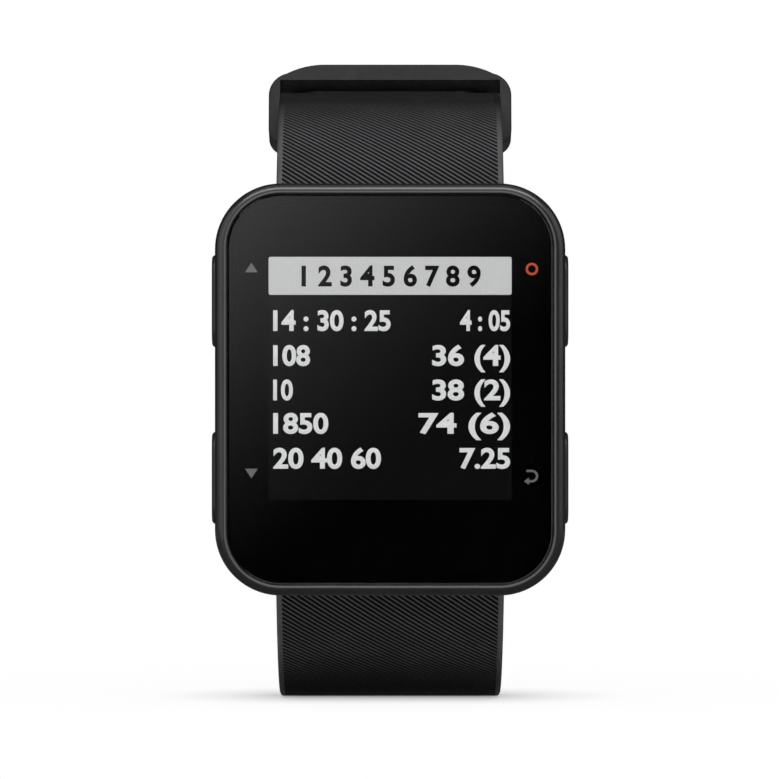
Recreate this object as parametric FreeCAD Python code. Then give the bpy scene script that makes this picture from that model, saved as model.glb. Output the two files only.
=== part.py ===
"""Square-faced golf GPS watch on a buckled rubber strap, in millimetres.

X runs to the wearer's right, -Y is the way the screen faces and +Z is up. The origin is the
middle of the flat outer face of the back cover. The strap is closed into a loop round the X
axis: places on it are given by a radius from the loop's axis and an angle from the loop's top,
which grows towards the buckle side.
"""

import FreeCAD, Part
import math
import os

os.makedirs("parts", exist_ok=True)
V = FreeCAD.Vector
ALONG_X, ALONG_Y = V(1, 0, 0), V(0, 1, 0)

# Case
CASE_W, CASE_H, CASE_T = 34.6, 40.7, 13.0
CASE_CORNER = 6.5
CASE_WALL, END_WALL, POCKET_WALL = 2.0, 2.15, 1.7
CAVITY_CORNER = 4.0
BACK_EDGE = 0.7
BEZEL_T = 2.0
BEZEL_EDGE, BEZEL_LIP = 0.85, 0.16
FIT = 0.05
SEAT_GAP = 0.15

# How far a cutting shape reaches past the surface that it cuts, and how near counts as touching
PAST = 1.0
NEAR = 0.001

# Lens and display
LENS_RIM_SIDE, LENS_RIM_END = 1.28, 1.14
LENS_GAP = 0.1
LENS_T = 1.05
LENS_SINK = 0.15
LENS_EDGE = 0.12
LENS_SEAT = 1.0
GLUE_T, GLUE_MARGIN = 0.1, 0.1
OPTICAL_GAP = 0.1
SCREEN_SIDE = 24.0
SCREEN_Z = 1.1
DISPLAY_BORDER = 0.9
DISPLAY_CHIN = 1.6
DISPLAY_T = 1.6
DISPLAY_CORNER = 0.8
FRAME_T = 2.0
FLEX_W, FLEX_T = 8.0, 0.1
FLEX_RISE = 1.6
FLEX_WINDOW = 4.0
PLUG_H, PLUG_T = 2.4, 0.4
ANTENNA_W, ANTENNA_H, ANTENNA_T = 18.0, 2.0, 0.8

# Board and what stands on it
BOARD_T = 0.8
BOARD_SIDE_GAP = 1.6
BOARD_END_GAP = 0.4
BOARD_CORNER = 1.5
BOARD_SCREW_R, BOARD_SCREW_HEAD_R, BOARD_SCREW_HEAD_T = 0.4, 0.9, 0.6
BOARD_SCREW_LENGTH = 1.7
BOARD_SCREW_INSET = 1.4
CAN_W, CAN_H, CAN_T = 15.0, 11.0, 1.2
CAN_WALL = 0.2
CAN_Z = 4.0
BATTERY_W, BATTERY_H, BATTERY_T = 21.0, 24.0, 4.6
BATTERY_CORNER = 1.0
PAD_W, PAD_H = 14.0, 18.0

# Buttons
BUTTON_LENGTH, BUTTON_HEIGHT = 9.2, 3.4
BUTTON_Z = 8.8
BUTTON_PROUD = 0.42
BUTTON_EDGE = 0.4
BUTTON_SINK = 0.7
BUTTON_TRAVEL = 0.3
BUTTON_GAP = 0.1
STEM_R = 0.75
STEM_GROOVE_R = 0.5
STOP_GAP = 0.1
SWITCH_H, SWITCH_T, SWITCH_D = 3.5, 1.4, 1.2
SWITCH_NUB, SWITCH_NUB_T, SWITCH_NUB_H = 0.38, 0.6, 1.2
SWITCH_GAP = 0.02
SEAL_R, SEAL_T = 1.33, 0.56
SEAL_RUN = 0.02
BOSS_R, BOSS_T = 1.45, 0.45
CLIP_R, CLIP_T = 1.3, 0.3
CLIP_OPENING = 0.7
STEM_TIP = 0.15

# Back cover
COVER_T = 1.2
COVER_LEDGE = 1.1
COVER_CORNER = 4.4
COVER_SCREW_R, COVER_SCREW_HEAD_R, COVER_SCREW_HEAD_T = 0.55, 1.1, 0.6
COVER_SCREW_LENGTH = 4.4
COVER_THREAD_SPARE = 0.5
CROSS_LENGTH, CROSS_W, CROSS_DEPTH = 1.4, 0.26, 0.35
COVER_SCREW_INSET = 1.6
COVER_BOSS_R, COVER_BOSS_T = 1.5, 5.4
GASKET_W, GASKET_T = 0.5, 0.5
CONTACT_R, CONTACT_SINK, CONTACT_HEAD_T = 0.6, 0.05, 0.5
CONTACT_STEM_R = 0.4
CONTACT_COUNT, CONTACT_PITCH, CONTACT_X = 4, 2.4, 12.6
SPRING_R = 0.35

# Strap
STRAP_W, STRAP_T = 22.8, 2.4
LOOP_Y, LOOP_Z = 19.0, -0.5
STRAP_IN = 29.0
STRAP_OUT = STRAP_IN + STRAP_T
TAIL_LIFT = 0.1
TAIL_T = 2.2
TAIL_IN = STRAP_OUT + TAIL_LIFT
TAIL_OUT = TAIL_IN + TAIL_T
TAIL_TIP = 16.0
TAIL_CORNER = 3.6
TAIL_NARROW, TAIL_NARROW_TO = 0.5, 79.0
CROSS_FROM, CROSS_TO = 100.0, 82.0
STRAP_GAP = 0.2
LUG_PIN_R, LUG_EYE_R = 0.75, 1.45
LUG_Y, LUG_Z = -5.2, 18.05
LUG_PIN_BITE = 1.5
POCKET_FLOOR_GAP = 0.3
POCKET_FRONT_GAP = 1.35

# Adjustment holes, counted from the one that the prong sits in
HOLE_W, HOLE_LENGTH = 2.2, 4.2
HOLE_PITCH = 6.5
HOLE_AT = 75.5
HOLES_TO_TIP, HOLES_TO_CASE = 4, 4

# Buckle
BUCKLE_AT = 75.0
BUCKLE_PIN_R = 0.6
BUCKLE_ARM_R = 1.15
BUCKLE_ARM_T = 1.4
BUCKLE_EDGE = 0.35
BAR_AT, BAR_R = 102.6, 0.9
BAR_MID = TAIL_OUT - 0.7
PRONG_W, PRONG_T = 1.6, 0.9
PRONG_EYE_R = 1.15
PRONG_LIFT = 0.05
PRONG_TIP_PAST = 2.6
PRONG_LEG_FROM, PRONG_LEG_TO = 76.4, 78.2
PRONG_FOOT_FROM, PRONG_FOOT_TO = 74.4, 76.4
PRONG_EDGE = 0.25
NOTCH_W = 3.0
NOTCH_DEPTH = 4.5

# Keepers
KEEPER_FROM, KEEPER_TO = 13.0, 20.5
KEEPER_WALL = 1.2
KEEPER_UNDER_T, KEEPER_OVER_T = 1.95, 1.75
KEEPER_GAP_IN, KEEPER_GAP_OUT, KEEPER_GAP_SIDE = 0.15, 0.4, 0.22
KEEPER_ARCH_RISE, KEEPER_ARCH_SLOPE = 0.97, 4.0
KEEPER_SHOULDER_W, KEEPER_SHOULDER_DROP = 1.9, 2.4
KEEPER_FOOT_CORNER = 1.9
KEEPER_EDGE = 0.3
FIXED_FROM, FIXED_TO = 55.0, 61.0
FIXED_WALL = 1.1
FIXED_CORNER, FIXED_EDGE = 0.8, 0.25

# Depths along Y, from the back (0) to the bezel's front
FRONT_Y = -CASE_T
BEZEL_BACK_Y = FRONT_Y + BEZEL_T
LENS_FRONT_Y = FRONT_Y + LENS_SINK
LENS_BACK_Y = LENS_FRONT_Y + LENS_T
LENS_SEAT_Y = LENS_BACK_Y + GLUE_T
DISPLAY_FRONT_Y = LENS_BACK_Y + OPTICAL_GAP
DISPLAY_BACK_Y = DISPLAY_FRONT_Y + DISPLAY_T
FRAME_BACK_Y = BEZEL_BACK_Y + FRAME_T
BOARD_BACK_Y = FRAME_BACK_Y + BOARD_T
BUTTON_Y = BOARD_BACK_Y + SWITCH_T / 2
CAN_BACK_Y = BOARD_BACK_Y + CAN_T
BATTERY_BACK_Y = CAN_BACK_Y + BATTERY_T
COVER_FRONT_Y = -COVER_T

# Half sizes that several pieces share
HALF_W, HALF_H = CASE_W / 2, CASE_H / 2
LENS_W, LENS_H = CASE_W - 2 * LENS_RIM_SIDE, CASE_H - 2 * LENS_RIM_END
LENS_CORNER = CASE_CORNER - LENS_RIM_SIDE
CAVITY_W = CASE_W - 2 * CASE_WALL
POCKET_FLOOR = LUG_Z - LUG_EYE_R - POCKET_FLOOR_GAP
POCKET_HALF_W = STRAP_W / 2 + STRAP_GAP
FRONT_CAVITY_H = CASE_H - 2 * END_WALL
REAR_CAVITY_H = 2 * (POCKET_FLOOR - POCKET_WALL)
COVER_W, COVER_H = CAVITY_W + 2 * COVER_LEDGE, REAR_CAVITY_H + 2 * COVER_LEDGE
COVER_SCREW_X = CAVITY_W / 2 - COVER_SCREW_INSET
COVER_SCREW_Z = REAR_CAVITY_H / 2 - COVER_SCREW_INSET
BOARD_W, BOARD_H = CAVITY_W - 2 * BOARD_SIDE_GAP, REAR_CAVITY_H - 2 * BOARD_END_GAP
DISPLAY_W = SCREEN_SIDE + 2 * DISPLAY_BORDER
DISPLAY_H = SCREEN_SIDE + 2 * DISPLAY_BORDER + DISPLAY_CHIN
DISPLAY_Z = SCREEN_Z - DISPLAY_CHIN / 2
FRAME_POCKET_FLOOR_Y = DISPLAY_BACK_Y + FLEX_T
FLEX_Z = DISPLAY_Z - DISPLAY_H / 2 + FLEX_RISE
ANTENNA_Z = (DISPLAY_Z + DISPLAY_H / 2 + FRONT_CAVITY_H / 2) / 2
STEM_FACE_X = HALF_W - BUTTON_SINK
RECESS_X = STEM_FACE_X - BUTTON_TRAVEL - STOP_GAP
BOSS_X = CAVITY_W / 2 - BOSS_T
CLIP_X = BOSS_X - STOP_GAP
STEM_END_X = CLIP_X - CLIP_T - STEM_TIP
NUB_X = STEM_END_X - BUTTON_TRAVEL - SWITCH_GAP
SWITCH_X = NUB_X - SWITCH_NUB
BUCKLE_MID = STRAP_IN + STRAP_T / 2
EYE_R = STRAP_T / 2
ARM_IN = STRAP_W / 2 + STRAP_GAP
ARM_OUT = ARM_IN + BUCKLE_ARM_T

BUTTONS = {"up": (-1, 1), "down": (-1, -1), "ok": (1, 1), "back": (1, -1)}
CORNERS = [(sx, sz) for sx in (-1, 1) for sz in (-1, 1)]


def save(name, shape):
    """Writes one piece to its own file."""
    shape.removeSplitter().exportStep(f"parts/{name}.step")


def fuse(shapes):
    """Joins shapes into one."""
    return shapes[0].fuse(shapes[1:]) if len(shapes) > 1 else shapes[0]


def box(x0, x1, y0, y1, z0, z1):
    """A box between two corners."""
    return Part.makeBox(x1 - x0, y1 - y0, z1 - z0, V(x0, y0, z0))


def slab(w, h, corner, y0, y1, z=0.0):
    """A plate with round corners that faces along Y."""
    a, b, c = w / 2, h / 2, corner
    k = c * (1 - math.sqrt(0.5))
    corners = [
        (V(a - c, y0, z + b), V(a - k, y0, z + b - k), V(a, y0, z + b - c)),
        (V(a, y0, z - b + c), V(a - k, y0, z - b + k), V(a - c, y0, z - b)),
        (V(-a + c, y0, z - b), V(-a + k, y0, z - b + k), V(-a, y0, z - b + c)),
        (V(-a, y0, z + b - c), V(-a + k, y0, z + b - k), V(-a + c, y0, z + b)),
    ]
    edges = []
    for i, (start, middle, end) in enumerate(corners):
        edges.append(Part.Arc(start, middle, end).toShape())
        edges.append(Part.LineSegment(end, corners[(i + 1) % 4][0]).toShape())
    return Part.Face(Part.Wire(edges)).extrude(V(0, y1 - y0, 0))


def rim(w, h, corner, inset, y0, y1):
    """A frame: a slab with a slab of the same shape, smaller by inset, taken out."""
    inner = slab(w - 2 * inset, h - 2 * inset, corner - inset, y0 - 1, y1 + 1)
    return slab(w, h, corner, y0, y1).cut(inner)


def rod(radius, x0, x1, y, z):
    """A round bar along X."""
    return Part.makeCylinder(radius, x1 - x0, V(x0, y, z), ALONG_X)


def post(radius, y0, y1, x, z):
    """A round bar along Y."""
    return Part.makeCylinder(radius, y1 - y0, V(x, y0, z), ALONG_Y)


def pill(length, height, x0, x1, y, z):
    """A bar along X with a section that is long in Z and has round ends."""
    r, s = height / 2, (length - height) / 2
    edges = [
        Part.Arc(V(x0, y - r, z + s), V(x0, y, z + s + r), V(x0, y + r, z + s)).toShape(),
        Part.LineSegment(V(x0, y + r, z + s), V(x0, y + r, z - s)).toShape(),
        Part.Arc(V(x0, y + r, z - s), V(x0, y, z - s - r), V(x0, y - r, z - s)).toShape(),
        Part.LineSegment(V(x0, y - r, z - s), V(x0, y - r, z + s)).toShape(),
    ]
    return Part.Face(Part.Wire(edges)).extrude(V(x1 - x0, 0, 0))


def place(radius, degrees, x=0.0):
    """The point at a radius and an angle of the strap's loop."""
    a = math.radians(degrees)
    return V(x, LOOP_Y + radius * math.sin(a), LOOP_Z + radius * math.cos(a))


def bow(radius, start, end):
    """An arc about the loop's axis."""
    return Part.Arc(place(radius, start), place(radius, (start + end) / 2), place(radius, end)).toShape()


def line(a, b):
    return Part.LineSegment(a, b).toShape()


def outline(edges, x0, x1):
    """A solid with the outline that the edges make, between two places along X."""
    face = Part.Face(Part.Wire(edges))
    face.translate(V(x0, 0, 0))
    return face.extrude(V(x1 - x0, 0, 0))


def band(inner, outer, start, end, half_width):
    """A piece of the loop with straight ends."""
    edges = [
        bow(inner, start, end),
        line(place(inner, end), place(outer, end)),
        bow(outer, end, start),
        line(place(outer, start), place(inner, start)),
    ]
    return outline(edges, -half_width, half_width)


def middle(edge):
    """The point half way along an edge."""
    return edge.valueAt((edge.FirstParameter + edge.LastParameter) / 2)


def rounded_ends(shape, radius, degrees, inner, outer):
    """Rounds the two edges that run outward at one end of a band."""
    at = place((inner + outer) / 2, degrees)
    picked = []
    for e in shape.Edges:
        c = middle(e)
        if math.hypot(c.y - at.y, c.z - at.z) < 10 * NEAR and e.BoundBox.XLength < 10 * NEAR:
            picked.append(e)
    return shape.makeFillet(radius, picked)


def mirrored(shape, sign):
    """The shape as it is for +1, or mirrored to the other side of the watch for -1."""
    return shape if sign > 0 else shape.mirror(V(0, 0, 0), ALONG_X)


# Case


def mid_case():
    shell = slab(CASE_W, CASE_H, CASE_CORNER, BEZEL_BACK_Y, 0)
    shell = shell.makeChamfer(BACK_EDGE, [e for e in shell.Edges if e.BoundBox.YMin > -NEAR])
    front = slab(CAVITY_W, FRONT_CAVITY_H, CASE_CORNER - CASE_WALL, BEZEL_BACK_Y, FRAME_BACK_Y)
    rear = slab(CAVITY_W, REAR_CAVITY_H, CAVITY_CORNER, FRAME_BACK_Y, 0)
    recess = slab(COVER_W + 2 * FIT, COVER_H + 2 * FIT, COVER_CORNER + FIT, COVER_FRONT_Y, 0)
    shell = shell.cut([front, rear, recess])
    boss_front = COVER_FRONT_Y - COVER_BOSS_T
    bosses = [
        post(COVER_BOSS_R, boss_front, COVER_FRONT_Y, sx * COVER_SCREW_X, sz * COVER_SCREW_Z)
        for sx, sz in CORNERS
    ]
    stem_bosses = [
        mirrored(rod(BOSS_R, BOSS_X, (CAVITY_W + CASE_WALL) / 2, BUTTON_Y, sz * BUTTON_Z), sx)
        for sx, sz in BUTTONS.values()
    ]
    shell = shell.fuse(bosses + stem_bosses)
    cuts = [gasket()] + [strap_pocket(sz) for sz in (-1, 1)]
    cuts += [lug_pin(sz, FIT / 2) for sz in (-1, 1)]
    cuts += [button_hole(*side) for side in BUTTONS.values()]
    thread_front = -COVER_SCREW_LENGTH - COVER_THREAD_SPARE
    cuts += [
        post(COVER_SCREW_R, thread_front, 0, sx * COVER_SCREW_X, sz * COVER_SCREW_Z)
        for sx, sz in CORNERS
    ]
    return shell.cut(cuts)


def strap_pocket(sz):
    """The room in one end of the case for the strap's head."""
    front = LUG_Y - LUG_EYE_R - POCKET_FRONT_GAP
    z0, z1 = sorted((sz * POCKET_FLOOR, sz * (HALF_H + PAST)))
    return box(-POCKET_HALF_W, POCKET_HALF_W, front, PAST, z0, z1)


def button_hole(sx, sz):
    """The recess for a button's cap, the bore for its stem and the seat of its seal."""
    grow = 2 * BUTTON_GAP
    y, z = BUTTON_Y, sz * BUTTON_Z
    recess = pill(BUTTON_LENGTH + grow, BUTTON_HEIGHT + grow, RECESS_X, HALF_W + PAST, y, z)
    bore = rod(STEM_R + FIT, BOSS_X - PAST, RECESS_X, y, z)
    seat = rod(SEAL_R + SEAL_RUN, RECESS_X - SEAL_T - SEAL_RUN, RECESS_X, y, z)
    return mirrored(fuse([recess, bore, seat]), sx)


def bezel_ring():
    ring = slab(CASE_W, CASE_H, CASE_CORNER, FRONT_Y, BEZEL_BACK_Y)
    ring = ring.makeFillet(BEZEL_EDGE, front_edges(ring))
    grow = 2 * LENS_GAP
    seat = slab(LENS_W + grow, LENS_H + grow, LENS_CORNER + LENS_GAP, FRONT_Y, LENS_SEAT_Y)
    way = slab(
        LENS_W - 2 * LENS_SEAT, LENS_H - 2 * LENS_SEAT, LENS_CORNER - LENS_SEAT, FRONT_Y, BEZEL_BACK_Y
    )
    ring = ring.cut([seat, way])
    half_w, half_h = LENS_W / 2 + LENS_GAP + NEAR, LENS_H / 2 + LENS_GAP + NEAR
    lip = [e for e in front_edges(ring) if abs(middle(e).x) < half_w and abs(middle(e).z) < half_h]
    return ring.makeFillet(BEZEL_LIP, lip)


def front_edges(shape):
    """The edges of a piece's foremost face."""
    front = shape.BoundBox.YMin
    return [e for e in shape.Edges if e.BoundBox.YMax < front + NEAR]


def lens():
    glass = slab(LENS_W, LENS_H, LENS_CORNER, LENS_FRONT_Y, LENS_BACK_Y)
    return glass.makeChamfer(LENS_EDGE, front_edges(glass))


def lens_adhesive():
    return rim(LENS_W, LENS_H, LENS_CORNER, LENS_SEAT - GLUE_MARGIN, LENS_BACK_Y, LENS_SEAT_Y)


def display_module():
    return slab(DISPLAY_W, DISPLAY_H, DISPLAY_CORNER, DISPLAY_FRONT_Y, DISPLAY_BACK_Y, DISPLAY_Z)


def display_frame():
    w, h = CAVITY_W - 4 * SEAT_GAP, FRONT_CAVITY_H - 4 * SEAT_GAP
    tray = slab(w, h, CASE_CORNER - CASE_WALL - 2 * SEAT_GAP, BEZEL_BACK_Y, FRAME_BACK_Y)
    grow = 2 * SEAT_GAP
    pocket = slab(
        DISPLAY_W + grow, DISPLAY_H + grow, DISPLAY_CORNER + SEAT_GAP, BEZEL_BACK_Y,
        FRAME_POCKET_FLOOR_Y, DISPLAY_Z,
    )
    half = FLEX_W / 2 + SEAT_GAP
    window = box(-half, half, FRAME_POCKET_FLOOR_Y, FRAME_BACK_Y, FLEX_Z - grow, FLEX_Z + FLEX_WINDOW)
    return tray.cut([pocket, window, antenna_box(SEAT_GAP)] + board_screw_set())


def antenna_box(gap):
    half = ANTENNA_W / 2 + gap
    low, high = ANTENNA_Z - ANTENNA_H / 2 - gap, ANTENNA_Z + ANTENNA_H / 2 + gap
    return box(-half, half, BEZEL_BACK_Y, BEZEL_BACK_Y + ANTENNA_T, low, high)


def display_flex():
    """The display's cable: a lead on its back, a fold through the frame and a plug on the board."""
    half = FLEX_W / 2
    plug_y = FRAME_BACK_Y - PLUG_T
    lead_top = FLEX_Z + FLEX_WINDOW - SEAT_GAP
    lead = box(-half, half, DISPLAY_BACK_Y, FRAME_POCKET_FLOOR_Y, FLEX_Z, lead_top)
    fold = box(-half, half, DISPLAY_BACK_Y, plug_y, FLEX_Z, FLEX_Z + FLEX_T)
    plug = box(-half, half, plug_y, FRAME_BACK_Y, FLEX_Z, FLEX_Z + PLUG_H)
    return fuse([lead, fold, plug])


# Board, battery and switches


def main_board():
    return slab(BOARD_W, BOARD_H, BOARD_CORNER, FRAME_BACK_Y, BOARD_BACK_Y).cut(board_screw_set())


def board_screw_set():
    x, z = BOARD_W / 2 - BOARD_SCREW_INSET, BOARD_H / 2 - BOARD_SCREW_INSET
    screws = []
    for sx, sz in CORNERS:
        tip = BOARD_BACK_Y - BOARD_SCREW_LENGTH
        shank = post(BOARD_SCREW_R, tip, BOARD_BACK_Y, sx * x, sz * z)
        head = post(BOARD_SCREW_HEAD_R, BOARD_BACK_Y, BOARD_BACK_Y + BOARD_SCREW_HEAD_T, sx * x, sz * z)
        screws.append(shank.fuse(head))
    return screws


def shield_can():
    a, b = CAN_W / 2, CAN_H / 2
    can = box(-a, a, BOARD_BACK_Y, CAN_BACK_Y, CAN_Z - b, CAN_Z + b)
    a, b = a - CAN_WALL, b - CAN_WALL
    return can.cut(box(-a, a, BOARD_BACK_Y, CAN_BACK_Y - CAN_WALL, CAN_Z - b, CAN_Z + b))


def tact_switch(sx, sz):
    z, half = sz * BUTTON_Z, SWITCH_H / 2
    body = box(SWITCH_X - SWITCH_D, SWITCH_X, BOARD_BACK_Y, BOARD_BACK_Y + SWITCH_T, z - half, z + half)
    a, b = SWITCH_NUB_T / 2, SWITCH_NUB_H / 2
    nub = box(SWITCH_X, NUB_X, BUTTON_Y - a, BUTTON_Y + a, z - b, z + b)
    return mirrored(body.fuse(nub), sx)


def battery():
    return slab(BATTERY_W, BATTERY_H, BATTERY_CORNER, CAN_BACK_Y, BATTERY_BACK_Y)


def battery_pad():
    return slab(PAD_W, PAD_H, BATTERY_CORNER, BATTERY_BACK_Y, COVER_FRONT_Y)


# Buttons


def button(sx, sz):
    """A cap with a stem through the case wall and a groove for its clip."""
    y, z = BUTTON_Y, sz * BUTTON_Z
    cap = pill(BUTTON_LENGTH, BUTTON_HEIGHT, STEM_FACE_X, HALF_W + BUTTON_PROUD, y, z)
    face = HALF_W + BUTTON_PROUD - NEAR
    cap = cap.makeFillet(BUTTON_EDGE, [e for e in cap.Edges if e.BoundBox.XMin > face])
    stem = rod(STEM_R, STEM_END_X, STEM_FACE_X, y, z).cut(clip_ring(z))
    return mirrored(cap.fuse(stem), sx)


def clip_ring(z):
    ring = rod(CLIP_R, CLIP_X - CLIP_T, CLIP_X, BUTTON_Y, z)
    return ring.cut(rod(STEM_GROOVE_R, CLIP_X - CLIP_T, CLIP_X, BUTTON_Y, z))


def button_clip(sx, sz):
    """A C-shaped clip in the stem's groove, open to the back."""
    z, half = sz * BUTTON_Z, CLIP_OPENING / 2
    gap = box(CLIP_X - CLIP_T, CLIP_X, BUTTON_Y, BUTTON_Y + CLIP_R, z - half, z + half)
    return mirrored(clip_ring(z).cut(gap), sx)


def button_seal(sx, sz):
    y, z = BUTTON_Y, sz * BUTTON_Z
    ring = rod(SEAL_R, RECESS_X - SEAL_T, RECESS_X, y, z)
    return mirrored(ring.cut(rod(STEM_R + SEAL_RUN, RECESS_X - SEAL_T, RECESS_X, y, z)), sx)


# Back


def gasket():
    inset = (COVER_LEDGE - GASKET_W) / 2
    return rim(
        COVER_W - 2 * inset, COVER_H - 2 * inset, COVER_CORNER - inset, GASKET_W,
        COVER_FRONT_Y - GASKET_T, COVER_FRONT_Y,
    )


def back_cover():
    plate = slab(COVER_W, COVER_H, COVER_CORNER, COVER_FRONT_Y, 0)
    return plate.cut([cover_screw(*c) for c in CORNERS] + [contact(i) for i in range(CONTACT_COUNT)])


def cover_screw(sx, sz):
    x, z = sx * COVER_SCREW_X, sz * COVER_SCREW_Z
    shank = post(COVER_SCREW_R, -COVER_SCREW_LENGTH, 0, x, z)
    return shank.fuse(post(COVER_SCREW_HEAD_R, -COVER_SCREW_HEAD_T, 0, x, z))


def slotted_screw(sx, sz):
    """A cover screw with a cross recess in its head."""
    x, z = sx * COVER_SCREW_X, sz * COVER_SCREW_Z
    long, short = CROSS_LENGTH / 2, CROSS_W / 2
    sides = (long, short), (short, long)
    bars = [box(x - a, x + a, -CROSS_DEPTH, 0, z - b, z + b) for a, b in sides]
    return cover_screw(sx, sz).cut(bars)


def contact_z(i):
    return (i - (CONTACT_COUNT - 1) / 2) * CONTACT_PITCH


def contact(i):
    """A charging contact, sunk a little so that skin doesn't press on it."""
    z = contact_z(i)
    head = post(CONTACT_R, -CONTACT_SINK - CONTACT_HEAD_T, 0, CONTACT_X, z)
    return head.fuse(post(CONTACT_STEM_R, COVER_FRONT_Y, -CONTACT_SINK, CONTACT_X, z))


def sunk_contact(i):
    return contact(i).cut(post(CONTACT_R, -CONTACT_SINK, 0, CONTACT_X, contact_z(i)))


def contact_spring(i):
    return post(SPRING_R, BOARD_BACK_Y, COVER_FRONT_Y, CONTACT_X, contact_z(i))


# Strap and its fittings


def lug_pin(sz, gap=0.0):
    reach = POCKET_HALF_W + LUG_PIN_BITE
    return rod(LUG_PIN_R + gap, -reach - gap, reach + gap, LUG_Y, sz * LUG_Z)


def angle_of(y, z):
    """The loop angle of a point."""
    return math.degrees(math.atan2(y - LOOP_Y, z - LOOP_Z))


def lug_eye(sz):
    return rod(LUG_EYE_R, -STRAP_W / 2, STRAP_W / 2, LUG_Y, sz * LUG_Z)


def upper_strap():
    half = STRAP_W / 2
    top = band(STRAP_IN, STRAP_OUT, angle_of(LUG_Y, LUG_Z), BUCKLE_AT, half)
    at = place(BUCKLE_MID, BUCKLE_AT)
    end = rod(EYE_R, -half, half, at.y, at.z)
    strap = fuse([top, lug_eye(1), end])
    reach = STRAP_T + PAST
    notch = band(
        STRAP_IN - reach, STRAP_OUT + reach, BUCKLE_AT - math.degrees(NOTCH_DEPTH / 2 / BUCKLE_MID),
        BUCKLE_AT + math.degrees(NOTCH_DEPTH / BUCKLE_MID), NOTCH_W / 2,
    )
    return strap.cut([notch, lug_pin(1, FIT), rod(BUCKLE_PIN_R + FIT, -half, half, at.y, at.z)])


def crossing(share, low, high):
    """The radius along the stretch where the lower strap climbs over the upper one's end."""
    return low + (high - low) * share * share * (3 - 2 * share)


def climb(low, high):
    """Two arcs that lead from the low radius to the high one."""
    step = (CROSS_TO - CROSS_FROM) / 4
    points = [place(crossing(i / 4, low, high), CROSS_FROM + i * step) for i in range(5)]
    return [Part.Arc(*points[i : i + 3]).toShape() for i in (0, 2)]


def lower_strap():
    half = STRAP_W / 2
    start = angle_of(LUG_Y, -LUG_Z) % 360
    edges = [bow(STRAP_OUT, start, CROSS_FROM)] + climb(STRAP_OUT, TAIL_OUT)
    edges += [bow(TAIL_OUT, CROSS_TO, TAIL_TIP), line(place(TAIL_OUT, TAIL_TIP), place(TAIL_IN, TAIL_TIP))]
    edges += [bow(TAIL_IN, TAIL_TIP, CROSS_TO)] + climb(STRAP_IN, TAIL_IN)[::-1]
    edges += [bow(STRAP_IN, CROSS_FROM, start), line(place(STRAP_IN, start), place(STRAP_OUT, start))]
    strap = outline(edges, -half, half)
    for side in (-1, 1):
        shaving = band(TAIL_IN - FIT, TAIL_OUT + PAST, TAIL_TIP - PAST, TAIL_NARROW_TO, TAIL_NARROW)
        shaving.translate(V(side * half, 0, 0))
        strap = strap.cut(shaving)
    strap = rounded_ends(strap, TAIL_CORNER, TAIL_TIP, TAIL_IN, TAIL_OUT)
    strap = strap.fuse(lug_eye(-1))
    holes = [adjusting_hole(i) for i in range(-HOLES_TO_TIP, HOLES_TO_CASE + 1)]
    return strap.cut(holes + [lug_pin(-1, FIT)])


def adjusting_hole(i):
    """A slot with round ends, cut outward through the strap."""
    pitch = math.degrees(HOLE_PITCH / TAIL_IN)
    at = HOLE_AT + i * pitch
    out = place(1, at) - place(0, at)
    along = place(1, at + 90) - place(0, at + 90)
    depth = TAIL_OUT - STRAP_IN + 2 * PAST
    foot = place(STRAP_IN - PAST, at)
    offset = along * ((HOLE_LENGTH - HOLE_W) / 2)
    ends = [Part.makeCylinder(HOLE_W / 2, depth, foot + s * offset, out) for s in (-1, 1)]
    side = V(HOLE_W / 2, 0, 0)
    a, b, c, d = foot - offset - side, foot + offset - side, foot + offset + side, foot - offset + side
    slot = Part.Face(Part.makePolygon([a, b, c, d, a])).extrude(out * depth)
    return fuse(ends + [slot])


def end_edges(shape, start, end):
    """The edges that lie in either end plane of a piece of the loop."""
    picked = []
    for e in shape.Edges:
        turns = [angle_of(p.y, p.z) for p in (e.Vertexes[0].Point, middle(e), e.Vertexes[-1].Point)]
        if any(max(abs(t - at) for t in turns) < 10 * NEAR for at in (start, end)):
            picked.append(e)
    return picked


def tangent_arc(start, heading, end):
    """An arc that leaves start along heading and ends at end."""
    chord = end - start
    normal = chord - heading * (chord.dot(heading) / heading.dot(heading))
    normal.normalize()
    radius = chord.dot(chord) / (2 * chord.dot(normal))
    centre = start + normal * radius
    out = (start - centre) + (end - centre)
    out.normalize()
    return Part.Arc(start, centre + out * radius, end).toShape()


def keeper_side(sign, low, high, half):
    """One half of the keeper's outer outline, from its foot up to its arch."""
    def at(x, radius):
        return place(radius, KEEPER_TO, sign * x)

    up = place(1, KEEPER_TO) - place(0, KEEPER_TO)
    shoulder = high - KEEPER_ARCH_RISE
    side = shoulder - KEEPER_SHOULDER_DROP
    foot, heel = at(half - KEEPER_FOOT_CORNER, low), at(half, low + KEEPER_FOOT_CORNER)
    arch_foot = at(half - KEEPER_SHOULDER_W, shoulder)
    arch_top = at(half - KEEPER_SHOULDER_W - KEEPER_ARCH_SLOPE, high)
    return [
        tangent_arc(foot, V(sign, 0, 0), heel),
        line(heel, at(half, side)),
        tangent_arc(at(half, side), up, arch_foot),
        tangent_arc(arch_top, V(sign, 0, 0), arch_foot),
    ]


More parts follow.
